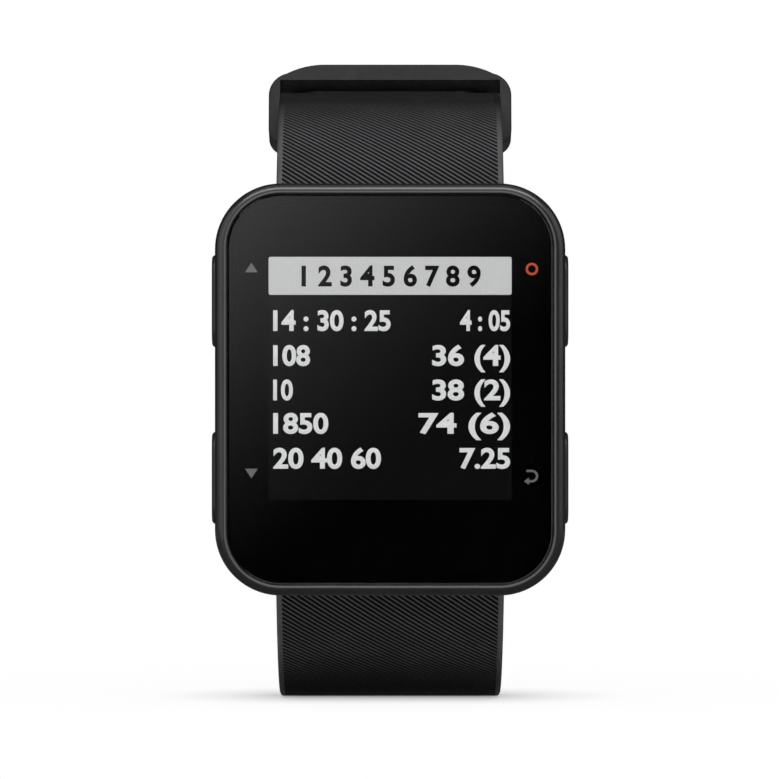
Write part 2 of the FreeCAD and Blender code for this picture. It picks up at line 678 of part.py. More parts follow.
def strap_keeper():
    """A loose ring round both layers of the strap, with an arched top."""
    inner, outer = STRAP_IN - KEEPER_GAP_IN, TAIL_OUT + KEEPER_GAP_OUT
    inside = STRAP_W / 2 + KEEPER_GAP_SIDE
    half = inside + KEEPER_WALL
    low, high = inner - KEEPER_UNDER_T, outer + KEEPER_OVER_T
    left, right = keeper_side(-1, low, high, half), keeper_side(1, low, high, half)
    under = line(left[0].Vertexes[0].Point, right[0].Vertexes[0].Point)
    over = line(left[3].Vertexes[0].Point, right[3].Vertexes[0].Point)
    edges = Part.sortEdges([under, over] + left + right)[0]
    turn = KEEPER_TO - KEEPER_FROM
    body = Part.Face(Part.Wire(edges)).revolve(V(0, LOOP_Y, LOOP_Z), ALONG_X, turn)
    body = body.makeFillet(KEEPER_EDGE, end_edges(body, KEEPER_FROM, KEEPER_TO))
    return body.cut(band(inner, outer, KEEPER_FROM - PAST, KEEPER_TO + PAST, inside))


def runs_round(edge):
    """Whether an edge follows the loop, at one radius and one place along X."""
    ends = [edge.Vertexes[0].Point, edge.Vertexes[-1].Point]
    radii = [math.hypot(p.y - LOOP_Y, p.z - LOOP_Z) for p in ends]
    return edge.BoundBox.XLength < 10 * NEAR and abs(radii[0] - radii[1]) < 10 * NEAR


def fixed_keeper():
    """A square ring round both layers of the strap, moulded to the upper one."""
    inner, outer, inside = STRAP_IN - FIT, TAIL_OUT + STRAP_GAP, STRAP_W / 2 + FIT
    half = inside + FIXED_WALL
    body = band(inner - FIXED_WALL, outer + FIXED_WALL, FIXED_FROM, FIXED_TO, half)
    body = body.makeFillet(FIXED_CORNER, [e for e in body.Edges if runs_round(e)])
    body = body.makeFillet(FIXED_EDGE, end_edges(body, FIXED_FROM, FIXED_TO))
    return body.cut(band(inner, outer, FIXED_FROM - PAST, FIXED_TO + PAST, inside))


def buckle_pin():
    at = place(BUCKLE_MID, BUCKLE_AT)
    return rod(BUCKLE_PIN_R, -ARM_OUT, ARM_OUT, at.y, at.z)


def buckle_frame():
    """Two arms that turn on the pin, and the far bar that lies over the lower strap."""
    pin, bar = place(BUCKLE_MID, BUCKLE_AT), place(BAR_MID, BAR_AT)
    along = bar - pin
    along.normalize()
    across = V(0, -along.z, along.y)
    r0, r1 = BUCKLE_ARM_R, BAR_R
    corners = [pin + across * r0, bar + across * r1, bar - across * r1, pin - across * r0]
    web = Part.Face(Part.makePolygon([*corners, corners[0]]))
    arms = []
    for x, outer_x in ((-ARM_OUT, -ARM_OUT), (ARM_IN, ARM_OUT)):
        side = web.copy()
        side.translate(V(x, 0, 0))
        ends = [rod(r, x, x + BUCKLE_ARM_T, at.y, at.z) for r, at in ((r0, pin), (r1, bar))]
        arm = fuse([side.extrude(V(BUCKLE_ARM_T, 0, 0))] + ends).removeSplitter()
        outer = [e for e in arm.Edges if all(abs(v.X - outer_x) < NEAR for v in e.Vertexes)]
        arms.append(arm.makeFillet(BUCKLE_EDGE, outer))
    frame = fuse(arms + [rod(BAR_R, -ARM_IN, ARM_IN, bar.y, bar.z)])
    return frame.cut(rod(BUCKLE_PIN_R + FIT, -ARM_OUT, ARM_OUT, pin.y, pin.z))


def outside(edge, radius):
    """Whether both ends of an edge are at a radius of the loop."""
    ends = [edge.Vertexes[0].Point, edge.Vertexes[-1].Point]
    return all(abs(math.hypot(p.y - LOOP_Y, p.z - LOOP_Z) - radius) < 10 * NEAR for p in ends)


def buckle_prong():
    """An eye on the pin, a leg through the strap's hole and a finger that lies on the far bar."""
    pin = place(BUCKLE_MID, BUCKLE_AT)
    low = BAR_MID + BAR_R + PRONG_LIFT
    high = low + PRONG_T
    tip = BAR_AT + math.degrees(PRONG_TIP_PAST / low)
    half = PRONG_W / 2
    finger = band(low, high, PRONG_LEG_FROM, tip, half)
    finger = finger.makeFillet(PRONG_EDGE, [e for e in finger.Edges if outside(e, high)])
    foot, head = BUCKLE_MID + PRONG_EYE_R / 2, low + PRONG_T / 2
    corners = [
        place(foot, PRONG_FOOT_FROM),
        place(head, PRONG_LEG_FROM),
        place(head, PRONG_LEG_TO),
        place(foot, PRONG_FOOT_TO),
    ]
    leg = outline([line(a, b) for a, b in zip(corners, corners[1:] + corners[:1])], -half, half)
    eye = rod(PRONG_EYE_R, -half, half, pin.y, pin.z)
    return fuse([finger, leg, eye]).cut(rod(BUCKLE_PIN_R + FIT, -half, half, pin.y, pin.z))


def main():
    save("mid_case", mid_case())
    save("bezel_ring", bezel_ring())
    save("lens", lens())
    save("lens_adhesive", lens_adhesive())
    save("display_module", display_module())
    save("display_frame", display_frame())
    save("display_flex", display_flex())
    save("gps_antenna", antenna_box(0))
    save("main_board", main_board())
    save("board_screws", Part.makeCompound(board_screw_set()))
    save("shield_can", shield_can())
    save("tact_switches", Part.makeCompound([tact_switch(*s) for s in BUTTONS.values()]))
    save("battery", battery())
    save("battery_pad", battery_pad())
    for name, side in BUTTONS.items():
        save(f"button_{name}", button(*side))
        save(f"button_{name}_clip", button_clip(*side))
        save(f"button_{name}_seal", button_seal(*side))
    save("back_cover", back_cover())
    save("back_cover_gasket", gasket())
    save("back_cover_screws", Part.makeCompound([slotted_screw(*c) for c in CORNERS]))
    save("charge_contacts", Part.makeCompound([sunk_contact(i) for i in range(CONTACT_COUNT)]))
    save("contact_springs", Part.makeCompound([contact_spring(i) for i in range(CONTACT_COUNT)]))
    save("upper_lug_pin", lug_pin(1))
    save("lower_lug_pin", lug_pin(-1))
    save("upper_strap", upper_strap())
    save("lower_strap", lower_strap())
    save("strap_keeper", strap_keeper())
    save("fixed_keeper", fixed_keeper())
    save("buckle_pin", buckle_pin())
    save("buckle_frame", buckle_frame())
    save("buckle_prong", buckle_prong())


main()
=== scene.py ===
"""Looks for a square-faced golf GPS watch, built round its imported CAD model.

Everything is in metres in the model's own frame: X runs to the wearer's right, -Y is the way the
screen faces and +Z is up. Places on the strap are given by an angle round the X axis of its loop,
from the loop's top towards the buckle.
"""

import math

import bmesh
import bpy
from mathutils import Matrix, Vector


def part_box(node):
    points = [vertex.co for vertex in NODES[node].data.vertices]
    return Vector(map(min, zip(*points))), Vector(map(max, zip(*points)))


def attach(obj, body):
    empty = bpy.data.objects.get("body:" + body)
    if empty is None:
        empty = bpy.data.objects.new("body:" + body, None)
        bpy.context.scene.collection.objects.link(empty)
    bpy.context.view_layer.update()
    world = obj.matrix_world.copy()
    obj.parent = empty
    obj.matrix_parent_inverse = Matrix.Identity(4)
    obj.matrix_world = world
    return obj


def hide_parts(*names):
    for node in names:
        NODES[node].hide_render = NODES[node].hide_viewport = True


bl_info = {
    "name": "Golf GPS watch looks",
    "version": (1, 0, 0),
    "blender": (4, 5, 0),
    "location": "View3D > Sidebar > Watch",
    "description": "Dresses the packed golf GPS watch and sets its stage",
    "category": "Object",
}

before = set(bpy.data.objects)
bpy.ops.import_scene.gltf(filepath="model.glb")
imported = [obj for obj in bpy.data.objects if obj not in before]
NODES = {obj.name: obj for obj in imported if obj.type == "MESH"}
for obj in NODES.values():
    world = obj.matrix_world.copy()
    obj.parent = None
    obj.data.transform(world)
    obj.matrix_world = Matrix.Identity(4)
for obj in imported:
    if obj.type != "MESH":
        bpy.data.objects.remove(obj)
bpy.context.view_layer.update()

MM = 0.001
BUTTONS = ("up", "down", "ok", "back")

# Colours that more than one piece has
WHITE = (1.0, 1.0, 1.0, 1.0)
INK_BLACK = (0.002, 0.002, 0.0022)
SEAL_BLACK = (0.02, 0.02, 0.02)
STEEL = (0.5, 0.5, 0.51)

# The strap's loop: lengths, and angles in degrees
LOOP = Vector((0.0, 19.0, -0.5)) * MM
STRAP_OUT = 31.4 * MM
STRAP_THICK = 2.4 * MM
STRAP_HALF = 11.4 * MM
HEAD_R, PIN_BORE_R = 1.45 * MM, 0.8 * MM
UPPER_FROM, UPPER_TO = -52.5, 75.0
UPPER_RIBS = (-47.7, 69.0)
LOWER_FROM, LOWER_TO = 16.0, 234.2
LOWER_RIBS = (19.5, 230.2)
CLIMB_FROM, CLIMB_TO = 100.0, 82.0
TAIL_RISE, TAIL_THICK = 2.3 * MM, 2.2 * MM
TAIL_NARROW, TAIL_NARROW_TO = 0.5 * MM, 79.0
TIP_CORNER = 3.6 * MM
PIN_AT, PIN_RADIUS, END_BORE_R = 75.0, 30.2 * MM, 0.65 * MM
NOTCH_HALF, NOTCH_FROM, NOTCH_TO, NOTCH_REACH = 1.5 * MM, 70.73, 83.54, 4 * MM
HOLE_W, HOLE_LENGTH, HOLE_AT, HOLE_STEP = 2.2 * MM, 4.2 * MM, 75.5, 11.823
HOLE_PLACES = range(-4, 5)
HOLE_ARC = 12
ROD_STEPS, ROD_SHORT = 48, 0.02 * MM

# One rib across its pitch: the share of the pitch, and the height there as a share of the depth
RIB_SHAPE = ((0.0, 0.3), (0.07, 0.88), (0.22, 1.0), (0.37, 0.88), (0.44, 0.3), (0.72, 0.0))
# The mesh has an extra row or column of edges this far beside the ribs, so that shading stays apart
RIB_END, RIB_SIDE = 0.1 * MM, 0.05 * MM
# A mesh attribute that is 0 on the ribs and 1 at the bottom of the grooves, which get painted shade
GROOVE = "groove"
# The ribs get a painted highlight in front of the first depth along Y, and have the rubber's own colour
# behind the second
HIGHLIGHT_TO, HIGHLIGHT_GONE_FROM = 1.0 * MM, 10.0 * MM
# The strap's long edge in millimetres: how far in from its side, and how far below its face
STRAP_EDGE = ((0.53, 0.0), (0.3, 0.0), (0.1, 0.09), (0.0, 0.32))
EDGE_ROUND = 0.3 * MM
END_ROWS = (0.04 * MM, 0.12 * MM, EDGE_ROUND)

# The bezel's lip, where a highlight is painted: its distances from the lens's corner circle, and its share
# of the colour between
LIP_FROM, LIP_TO = 0.1 * MM, 0.5 * MM
LIP_STOPS = ((0.2, 0.0), (0.35, 1.0), (0.55, 1.0), (0.78, 0.0))

# The picture under the glass, from front to back; the edge ink lies just inside the glass
LENS_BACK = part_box("lens")[1].y
LENS_CORNER = 5.22 * MM
EDGE_INK_Y = LENS_BACK - 0.03 * MM
SIGNS_Y = LENS_BACK + 0.015 * MM
BORDER_Y = LENS_BACK + 0.04 * MM
PICTURE_Y = LENS_BACK + 0.045 * MM
PANEL_Y = LENS_BACK + 0.07 * MM
LAYER = 0.02 * MM
SCREEN_HALF = 12.0 * MM
SCREEN_Z = 1.1 * MM
WINDOW_CORNER, PANEL_SPARE = 0.15 * MM, 0.3 * MM
BORDER_RIM, BORDER_CORNER, EDGE_INK_RIM = 0.95 * MM, 4.27 * MM, 0.12 * MM
HEADER_LOW, HEADER_CORNER = 9.35 * MM, 0.2 * MM

# The numbers, in millimetres: left and right ends of the header's line, and its base
HEADER_LINE = (-8.75, 8.95, 10.15)
ROWS_LEFT, ROWS_RIGHT = -11.55, 11.85
# How much bolder than the typeface they are, as a share of the em
NUMBER_BOLD = 0.032
# Base of each row, its left numbers with their right end, and its right numbers with their left end
ROWS = (
    (5.75, "14 : 30 : 25", 0.05, "4 : 05", 6.9),
    (2.3, "108", -7.9, "36 (4)", 4.15),
    (-1.1, "10", -9.6, "38 (2)", 4.15),
    (-4.4, "1850", -6.1, "74 (6)", 2.8),
    (-7.85, "20 40 60", -0.9, "7.25", 6.85),
)

# The signs beside the buttons
SIGNS_LEFT, SIGNS_RIGHT = -13.7 * MM, 14.0 * MM
UP_Z, DOWN_Z, OK_Z, BACK_Z = 12.05 * MM, -8.3 * MM, 11.9 * MM, -8.55 * MM
ARROW_HALF, ARROW_TALL = 0.62 * MM, 0.95 * MM
RING_OUT, RING_IN = 0.62 * MM, 0.38 * MM

# The stage, in metres and degrees
FLOOR_Z = LOOP.z - STRAP_OUT - 0.02 * MM
FLOOR_REACH, CARD_REACH, LOW_CARD_REACH = 0.22, 0.9, 0.154
FLOOR_TONE = 0.86
# Where the floor turns white: start and end of a fade round the strap, its most, and its power
FLOOR_FADES = ((0.0, 16 * MM, 0.95, 0.5), (14 * MM, 80 * MM, 1.0, 1.0))
# How the front card brightens to its upper left: slope by place, its start, and its most
SHEEN_SLOPE, SHEEN_START, SHEEN_MOST = (-20.0, 0.0, 22.6), 0.58, 1.0
LAMP_DISTANCE = 0.62
# Name, angle to the right of the front, height, size, and share of the key's power
LAMPS = (
    ("key lamp", 0, 50, (0.7, 0.24), 1.0),
    ("top lamp", 0, 82, (0.7, 0.36), 0.15),
    ("left lamp", -58, 20, (0.62, 0.5), 0.26),
    ("right lamp", 58, 20, (0.62, 0.5), 0.33),
)
CAMERA_X, SENSOR_WIDTH = -0.06 * MM, 36.0


# Settings


class WatchStrapSettings(bpy.types.PropertyGroup):
    """Sizes and colours of the strap."""

    rib_pitch: bpy.props.FloatProperty(
        name="Rib pitch", description="Distance from rib to rib across the strap",
        default=0.72 * MM, min=0.3 * MM, unit="LENGTH", precision=5,
    )
    rib_depth: bpy.props.FloatProperty(
        name="Rib depth", description="Height of a rib over the groove beside it",
        default=0.3 * MM, min=0.0, unit="LENGTH", precision=5,
    )
    rib_slope: bpy.props.FloatProperty(
        name="Rib slope", description="How far a rib climbs along the strap for each step across it",
        default=0.9, min=0.2, max=4.0,
    )
    rib_margin: bpy.props.FloatProperty(
        name="Plain margin", description="Width of the plain strip beside the ribs",
        default=0.65 * MM, min=0.6 * MM, unit="LENGTH", precision=5,
    )
    rubber: bpy.props.FloatVectorProperty(
        name="Rubber", description="Colour of the strap's rubber",
        default=(0.01, 0.01, 0.011), min=0.0, max=1.0, subtype="COLOR",
    )
    # Painted highlight: the ribs at the strap's front are drawn lighter than the rubber
    rib_highlight: bpy.props.FloatVectorProperty(
        name="Worn rubber", description="Colour of the rubbed ribs at the strap's front",
        default=(0.07, 0.07, 0.0735), min=0.0, max=1.0, subtype="COLOR",
    )
    # Painted shade: the grooves between the ribs are drawn darker than the rubber
    groove: bpy.props.FloatVectorProperty(
        name="Grooves", description="Colour of the rubber between the ribs",
        default=(0.002, 0.002, 0.0022), min=0.0, max=1.0, subtype="COLOR",
    )
    keeper: bpy.props.FloatVectorProperty(
        name="Keepers", description="Colour of the two keepers",
        default=(0.0185, 0.0185, 0.0198), min=0.0, max=1.0, subtype="COLOR",
    )


class WatchCaseSettings(bpy.types.PropertyGroup):
    """Colours of the case, its buttons and its back."""

    case: bpy.props.FloatVectorProperty(
        name="Case", description="Colour of the case's moulded plastic",
        default=(0.011, 0.0112, 0.012), min=0.0, max=1.0, subtype="COLOR",
    )
    bezel: bpy.props.FloatVectorProperty(
        name="Bezel", description="Colour of the bezel's satin plastic",
        default=(0.011, 0.0112, 0.012), min=0.0, max=1.0, subtype="COLOR",
    )
    # Painted highlight: the lip along the lens is drawn paler than the bezel
    lip_highlight: bpy.props.FloatVectorProperty(
        name="Bezel lip", description="Colour of the bezel's polished lip along the lens",
        default=(0.07, 0.0703, 0.0715), min=0.0, max=1.0, subtype="COLOR",
    )
    bezel_roughness: bpy.props.FloatProperty(
        name="Bezel roughness", description="How much the bezel blurs what it reflects",
        default=0.23, min=0.0, max=1.0, subtype="FACTOR",
    )
    coating: bpy.props.FloatVectorProperty(
        name="Buckle coating", description="Colour of the buckle's dark coating",
        default=(0.05, 0.05, 0.053), min=0.0, max=1.0, subtype="COLOR",
    )


class WatchScreenSettings(bpy.types.PropertyGroup):
    """Colours of the screen's picture and of the signs beside it."""

    panel: bpy.props.FloatProperty(
        name="Panel glow", description="Brightness of the empty screen",
        default=0.0042, min=0.0, max=1.0, subtype="FACTOR",
    )
    header: bpy.props.FloatProperty(
        name="Header glow", description="Brightness of the bar at the top of the screen",
        default=0.55, min=0.0, max=1.0, subtype="FACTOR",
    )
    numbers: bpy.props.FloatProperty(
        name="Numbers glow", description="Brightness of the numbers",
        default=0.68, min=0.0, max=1.0, subtype="FACTOR",
    )
    number_height: bpy.props.FloatProperty(
        name="Number height", description="Height of the numbers in a row",
        default=2.1 * MM, min=0.5 * MM, unit="LENGTH", precision=5,
    )
    # The signs glow in their own colours: painted light
    sign: bpy.props.FloatVectorProperty(
        name="Signs", description="Colour of the grey signs beside the buttons",
        default=(0.16, 0.16, 0.165), min=0.0, max=1.0, subtype="COLOR",
    )
    warm_sign: bpy.props.FloatVectorProperty(
        name="Warm sign", description="Colour of the sign beside the confirming button",
        default=(0.55, 0.085, 0.04), min=0.0, max=1.0, subtype="COLOR",
    )


class WatchStageSettings(bpy.types.PropertyGroup):
    """The lamps, the surroundings and the camera."""

    key_power: bpy.props.FloatProperty(
        name="Key power", description="Power of the soft lamp above the watch's front",
        default=3.4, min=0.0, unit="POWER",
    )
    ambient: bpy.props.FloatProperty(
        name="Ambient", description="Brightness of the surroundings as soft light",
        default=0.3, min=0.0, max=2.0,
    )
    sheen: bpy.props.FloatProperty(
        name="Glass sheen", description="Brightness of the card that the glass mirrors",
        default=0.095, min=0.0, max=1.0,
    )
    dark_card: bpy.props.FloatProperty(
        name="Dark cards", description="Brightness of the cards round the watch, which only gloss sees",
        default=0.02, min=0.0, max=1.0,
    )
    low_card: bpy.props.FloatProperty(
        name="Low card", description="Brightness of the card on the floor, which only gloss sees",
        default=0.12, min=0.0, max=1.0,
    )
    distance: bpy.props.FloatProperty(
        name="Camera distance", description="Distance from the camera to the watch's back",
        default=0.563, min=0.1, unit="LENGTH",
    )
    view_width: bpy.props.FloatProperty(
        name="View width", description="Width that the camera sees at the watch's face",
        default=76.8 * MM, min=0.01, unit="LENGTH", precision=4,
    )


# Meshes


def place(radius, degrees, x=0.0):
    """The point at a radius and an angle of the strap's loop."""
    a = math.radians(degrees)
    return LOOP + Vector((x, radius * math.sin(a), radius * math.cos(a)))


def piece(name, data, body="watch"):
    """A new object that rides on a body, or on none."""
    obj = bpy.data.objects.new(name, data)
    bpy.context.scene.collection.objects.link(obj)
    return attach(obj, body) if body else obj


def mesh_of(bm, name):
    """The finished mesh, with its faces turned outwards."""
    mesh = bpy.data.meshes.new(name)
    bmesh.ops.recalc_face_normals(bm, faces=bm.faces)
    bm.to_mesh(mesh)
    bm.free()
    return mesh


def smooth(mesh, degrees):
    """Smooth shading, with edges sharper than the angle kept crisp."""
    mesh.shade_smooth()
    mesh.set_sharp_from_angle(angle=math.radians(degrees))


def prism(bm, outline, near, far):
    """A closed solid between two copies of an outline.

    near and far each turn a point of the outline into a place."""
    rings = [[bm.verts.new(to(*p)) for p in outline] for to in (near, far)]
    bm.faces.new(rings[0])
    bm.faces.new(rings[1][::-1])
    count = len(outline)
    for i in range(count):
        j = (i + 1) % count
        bm.faces.new((rings[0][i], rings[1][i], rings[1][j], rings[0][j]))


def layer(bm, outline, y):
    """A thin plate that faces the camera's way, from an outline in X and Z."""
    prism(bm, outline, lambda x, z: (x, y, z), lambda x, z: (x, y + LAYER, z))


def rounded(x0, x1, z0, z1, corner, steps=8):
    """The outline of a rectangle with round corners."""
    centres = [(x1 - corner, z1 - corner), (x0 + corner, z1 - corner),
               (x0 + corner, z0 + corner), (x1 - corner, z0 + corner)]
    points = []
    for quarter, (cx, cz) in enumerate(centres):
        for i in range(steps + 1):
            a = math.radians(90 * quarter + 90 * i / steps)
            points.append((cx + corner * math.cos(a), cz + corner * math.sin(a)))
    return points


def circle(radius, steps):
    """The outline of a circle about the origin."""
    return [(radius * math.cos(math.tau * i / steps), radius * math.sin(math.tau * i / steps))
            for i in range(steps)]


def rod(bm, radius, half, at):
    """A round bar along X."""
    prism(bm, circle(radius, ROD_STEPS),
          lambda y, z: at + Vector((-half, y, z)), lambda y, z: at + Vector((half, y, z)))


def carve(obj, tool_mesh, operation):
    """Joins a tool's solids to a piece, or takes them out of it."""
    tool = piece("tool", tool_mesh, None)
    step = obj.modifiers.new("step", "BOOLEAN")
    step.object, step.operation, step.solver = tool, operation, "EXACT"
    made = bpy.data.meshes.new_from_object(obj.evaluated_get(bpy.context.evaluated_depsgraph_get()))
    obj.modifiers.clear()
    obj.data = made
    bpy.data.objects.remove(tool)


# The strap


def share_of(value, start, end):
    """How far a value has gone from start to end, eased at both ends."""
    t = min(1.0, max(0.0, (value - start) / (end - start)))
    return t * t * (3 - 2 * t)


def upper_shape(degrees):
    """Outer radius, thickness and half width of the upper strap."""
    return STRAP_OUT, STRAP_THICK, STRAP_HALF


def lower_shape(degrees):
    """Outer radius, thickness and half width of the lower strap, whose tail lies on the upper one."""
    t = share_of(degrees, CLIMB_FROM, CLIMB_TO)
    narrow = TAIL_NARROW * share_of(degrees, CLIMB_TO, TAIL_NARROW_TO)
    half = STRAP_HALF - narrow
    from_tip = math.radians(degrees - LOWER_FROM) * STRAP_OUT
    if from_tip < TIP_CORNER:
        short = TIP_CORNER - max(0.0, from_tip)
        half -= TIP_CORNER - math.sqrt(max(0.0, TIP_CORNER**2 - short**2))
    return STRAP_OUT + TAIL_RISE * t, STRAP_THICK + (TAIL_THICK - STRAP_THICK) * t, half


def section(margin):
    """The strap's outline across its width: place, height, and 1 where the ribs are."""
    rib = STRAP_HALF - margin
    inner = rib - RIB_SIDE
    top = [(-rib, 0.0, 1), *[(inner * (i / 6 - 1), 0.0, 1) for i in range(13)], (rib, 0.0, 1)]
    side = [(STRAP_HALF - inset * MM, -depth * MM, 0) for inset, depth in STRAP_EDGE]
    side += [(STRAP_HALF - inset * MM, depth * MM - STRAP_THICK, 0)
             for inset, depth in STRAP_EDGE[:0:-1]]
    bottom = [(STRAP_HALF * i / 3, -STRAP_THICK, 0) for i in (2, 1, 0, -1, -2)]
    return top + side + bottom + [(-x, h, r) for x, h, r in reversed(side)]


def flat_strap(settings, start, end, ribs):
    """The ribbed strap laid out flat: X across, Y along it and Z out."""
    slope, pitch = settings.rib_slope, settings.rib_pitch
    columns = section(settings.rib_margin)
    first = math.floor((start / slope - STRAP_HALF) / pitch) - 1
    last = math.ceil((end / slope + STRAP_HALF) / pitch) + 1
    bm = bmesh.new()
    rings = []
    for k in range(first, last):
        for share, height in RIB_SHAPE:
            phase = (k + share) * pitch
            groove = (height - 1) * settings.rib_depth
            rings.append([bm.verts.new((x, (phase - x) * slope, h + on_ribs * groove))
                          for x, h, on_ribs in columns])
    count = len(columns)
    for a, b in zip(rings, rings[1:]):
        for i in range(count):
            j = (i + 1) % count
            bm.faces.new((a[i], a[j], b[j], b[i]))
    for along, keep in ((start, 1), (end, -1)):
        bmesh.ops.bisect_plane(bm, geom=bm.verts[:] + bm.edges[:] + bm.faces[:], dist=1e-9,
                               plane_co=(0, along, 0), plane_no=(0, -keep, 0), clear_outer=True)
        rim = [e for e in bm.edges
               if e.is_boundary and all(abs(v.co.y - along) < 1e-7 for v in e.verts)]
        bmesh.ops.contextual_create(bm, geom=rim)
        for inset in END_ROWS:
            slice_at(bm, along + keep * inset)
    for along, inward in ((ribs[0], RIB_END), (ribs[1], -RIB_END)):
        for inset in (-inward, 0.0, inward):
            slice_at(bm, along + inset)
    flatten(bm, settings, ribs)
    return bm


def flatten(bm, settings, ribs):
    """Fills the grooves beyond the ribs' ends, and notes how deep each place of the face lies."""
    below = -1.25 * settings.rib_depth
    reach = STRAP_HALF - settings.rib_margin + 0.01 * MM
    near = 0.001 * MM
    depth = bm.verts.layers.float.new(GROOVE)
    for v in bm.verts:
        if v.co.z > below and abs(v.co.x) < reach:
            if not ribs[0] + near < v.co.y < ribs[1] - near:
                v.co.z = 0.0
            v[depth] = -v.co.z / settings.rib_depth


def slice_at(bm, along):
    """A row of edges straight across the flat strap."""
    bmesh.ops.bisect_plane(bm, geom=bm.verts[:] + bm.edges[:] + bm.faces[:], dist=1e-9,
                           plane_co=(0, along, 0), plane_no=(0, 1, 0))


def wrap(bm, start, end, shape):
    """Bends the flat strap round its loop, with its two ends a little rounded."""
    for v in bm.verts:
        x, along, h = v.co
        degrees = math.degrees(along / STRAP_OUT)
        outer, thick, half = shape(degrees)
        inset = min(EDGE_ROUND, max(0.0, along - start), max(0.0, end - along))
        lost = EDGE_ROUND - math.sqrt(max(0.0, EDGE_ROUND**2 - (EDGE_ROUND - inset) ** 2))
        depth = -h * thick / STRAP_THICK
        depth += lost * (1 - 2 * depth / thick)
        v.co = place(outer - depth, degrees, x * half / STRAP_HALF)


def strap(name, settings, span, ribs, shape):
    """A ribbed strap between two angles of the loop, not yet joined to its head."""
    start, end = (math.radians(a) * STRAP_OUT for a in span)
    edges = [math.radians(a) * STRAP_OUT for a in ribs]
    bm = flat_strap(settings, start, end, edges)
    wrap(bm, start, end, shape)
    return piece(name, mesh_of(bm, name), None)


def lug_at(node):
    """The middle of the case's pin that a strap turns on."""
    low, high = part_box(node)
    return Vector((0.0, (low.y + high.y) / 2, (low.z + high.z) / 2))


def finish_strap(obj, joins, cuts, node, finish):
    """Joins a strap's eyes, cuts its holes and puts it in its CAD node's place."""
    carve(obj, mesh_of(joins, "joins"), "UNION")
    carve(obj, mesh_of(cuts, "cuts"), "DIFFERENCE")
    smooth(obj.data, 70)
    obj.data.materials.clear()
    obj.data.materials.append(finish)
    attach(obj, "watch")
    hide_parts(node)


def slot_cut(bm, degrees):
    """One adjusting hole, as a solid with round ends that reaches through the strap."""
    across, along = HOLE_W / 2, (HOLE_LENGTH - HOLE_W) / 2
    outline = []
    for end, turn in ((1, 0), (-1, 180)):
        for i in range(HOLE_ARC + 1):
            a = math.radians(turn + 180 * i / HOLE_ARC)
            outline.append((across * math.cos(a), end * along + across * math.sin(a)))
    a = math.radians(degrees)
    out, onward = Vector((0, math.sin(a), math.cos(a))), Vector((0, math.cos(a), -math.sin(a)))

    def at(radius):
        return lambda x, s: LOOP + out * radius + onward * s + Vector((x, 0, 0))

    prism(bm, outline, at(STRAP_OUT - STRAP_THICK - MM), at(STRAP_OUT + TAIL_RISE + MM))


# Finishes


class Finish:
    """A new material with the few steps that this watch's finishes share."""

    # Nearly all of a noise's values lie between these
    DARKEST, LIGHTEST = 0.3, 0.7

    def __init__(self, name):
        self.material = bpy.data.materials.new(name)
        self.material.use_nodes = True
        self.tree = self.material.node_tree
        self.shader = self.tree.nodes["Principled BSDF"]
        self.where = self.add("ShaderNodeTexCoord").outputs["Object"]

    def add(self, kind, **settings):
        """A new node with some of its settings."""
        node = self.tree.nodes.new(kind)
        for key, value in settings.items():
            setattr(node, key, value)
        return node

    def set(self, **values):
        """Fixed values on the shader's own sockets."""
        for key, value in values.items():
            self.shader.inputs[key.replace("_", " ")].default_value = value

    def feed(self, socket, value):
        """Links a value to one of the shader's sockets."""
        self.tree.links.new(value, self.shader.inputs[socket])

    def noise(self, size, detail=3.0, stretch=(1, 1, 1)):
        """Cloudy noise with features of about the given size."""
        turn = self.add("ShaderNodeMapping")
        turn.inputs["Scale"].default_value = stretch
        node = self.add("ShaderNodeTexNoise")
        node.inputs["Scale"].default_value = 1 / size
        node.inputs["Detail"].default_value = detail
        self.tree.links.new(self.where, turn.inputs["Vector"])
        self.tree.links.new(turn.outputs["Vector"], node.inputs["Vector"])
        return node.outputs["Fac"]

    def spread(self, value, low, high):
        """Noise turned into a value between low and high."""
        node = self.add("ShaderNodeMapRange")
        span = (("From Min", self.DARKEST), ("From Max", self.LIGHTEST), ("To Min", low), ("To Max", high))
        for key, number in span:
            node.inputs[key].default_value = number
        self.tree.links.new(value, node.inputs["Value"])
        return node.outputs["Result"]

    def ramp(self, value, start, end):
        """0 up to start and 1 from end on."""
        node = self.add("ShaderNodeMapRange")
        node.inputs["From Min"].default_value, node.inputs["From Max"].default_value = start, end
        self.tree.links.new(value, node.inputs["Value"])
        return node.outputs["Result"]

    def blend(self, kind, share, first, second):
        """A mix of two colours or two numbers, each a socket or a fixed value."""
        node = self.add("ShaderNodeMix", data_type=kind)
        sockets = {"FLOAT": (0, 2, 3), "RGBA": (0, 6, 7)}[kind]
        for i, value in zip(sockets, (share, first, second)):
            if isinstance(value, bpy.types.NodeSocket):
                self.tree.links.new(value, node.inputs[i])
            else:
                node.inputs[i].default_value = value
        return next(one for one in node.outputs if one.enabled)

    def tones(self, value, dark, light):
        """Noise turned into a colour between two tones."""
        node = self.add("ShaderNodeValToRGB")
        first, last = node.color_ramp.elements
        first.position, last.position = self.DARKEST, self.LIGHTEST
        first.color, last.color = (*dark, 1), (*light, 1)
        self.tree.links.new(value, node.inputs["Fac"])
        return node.outputs["Color"]

    def bump(self, height, depth, strength=1.0):
        """Bumps of a given depth on the surface."""
        node = self.add("ShaderNodeBump")
        node.inputs["Distance"].default_value = depth
        node.inputs["Strength"].default_value = strength
        self.tree.links.new(height, node.inputs["Height"])
        self.feed("Normal", node.outputs["Normal"])


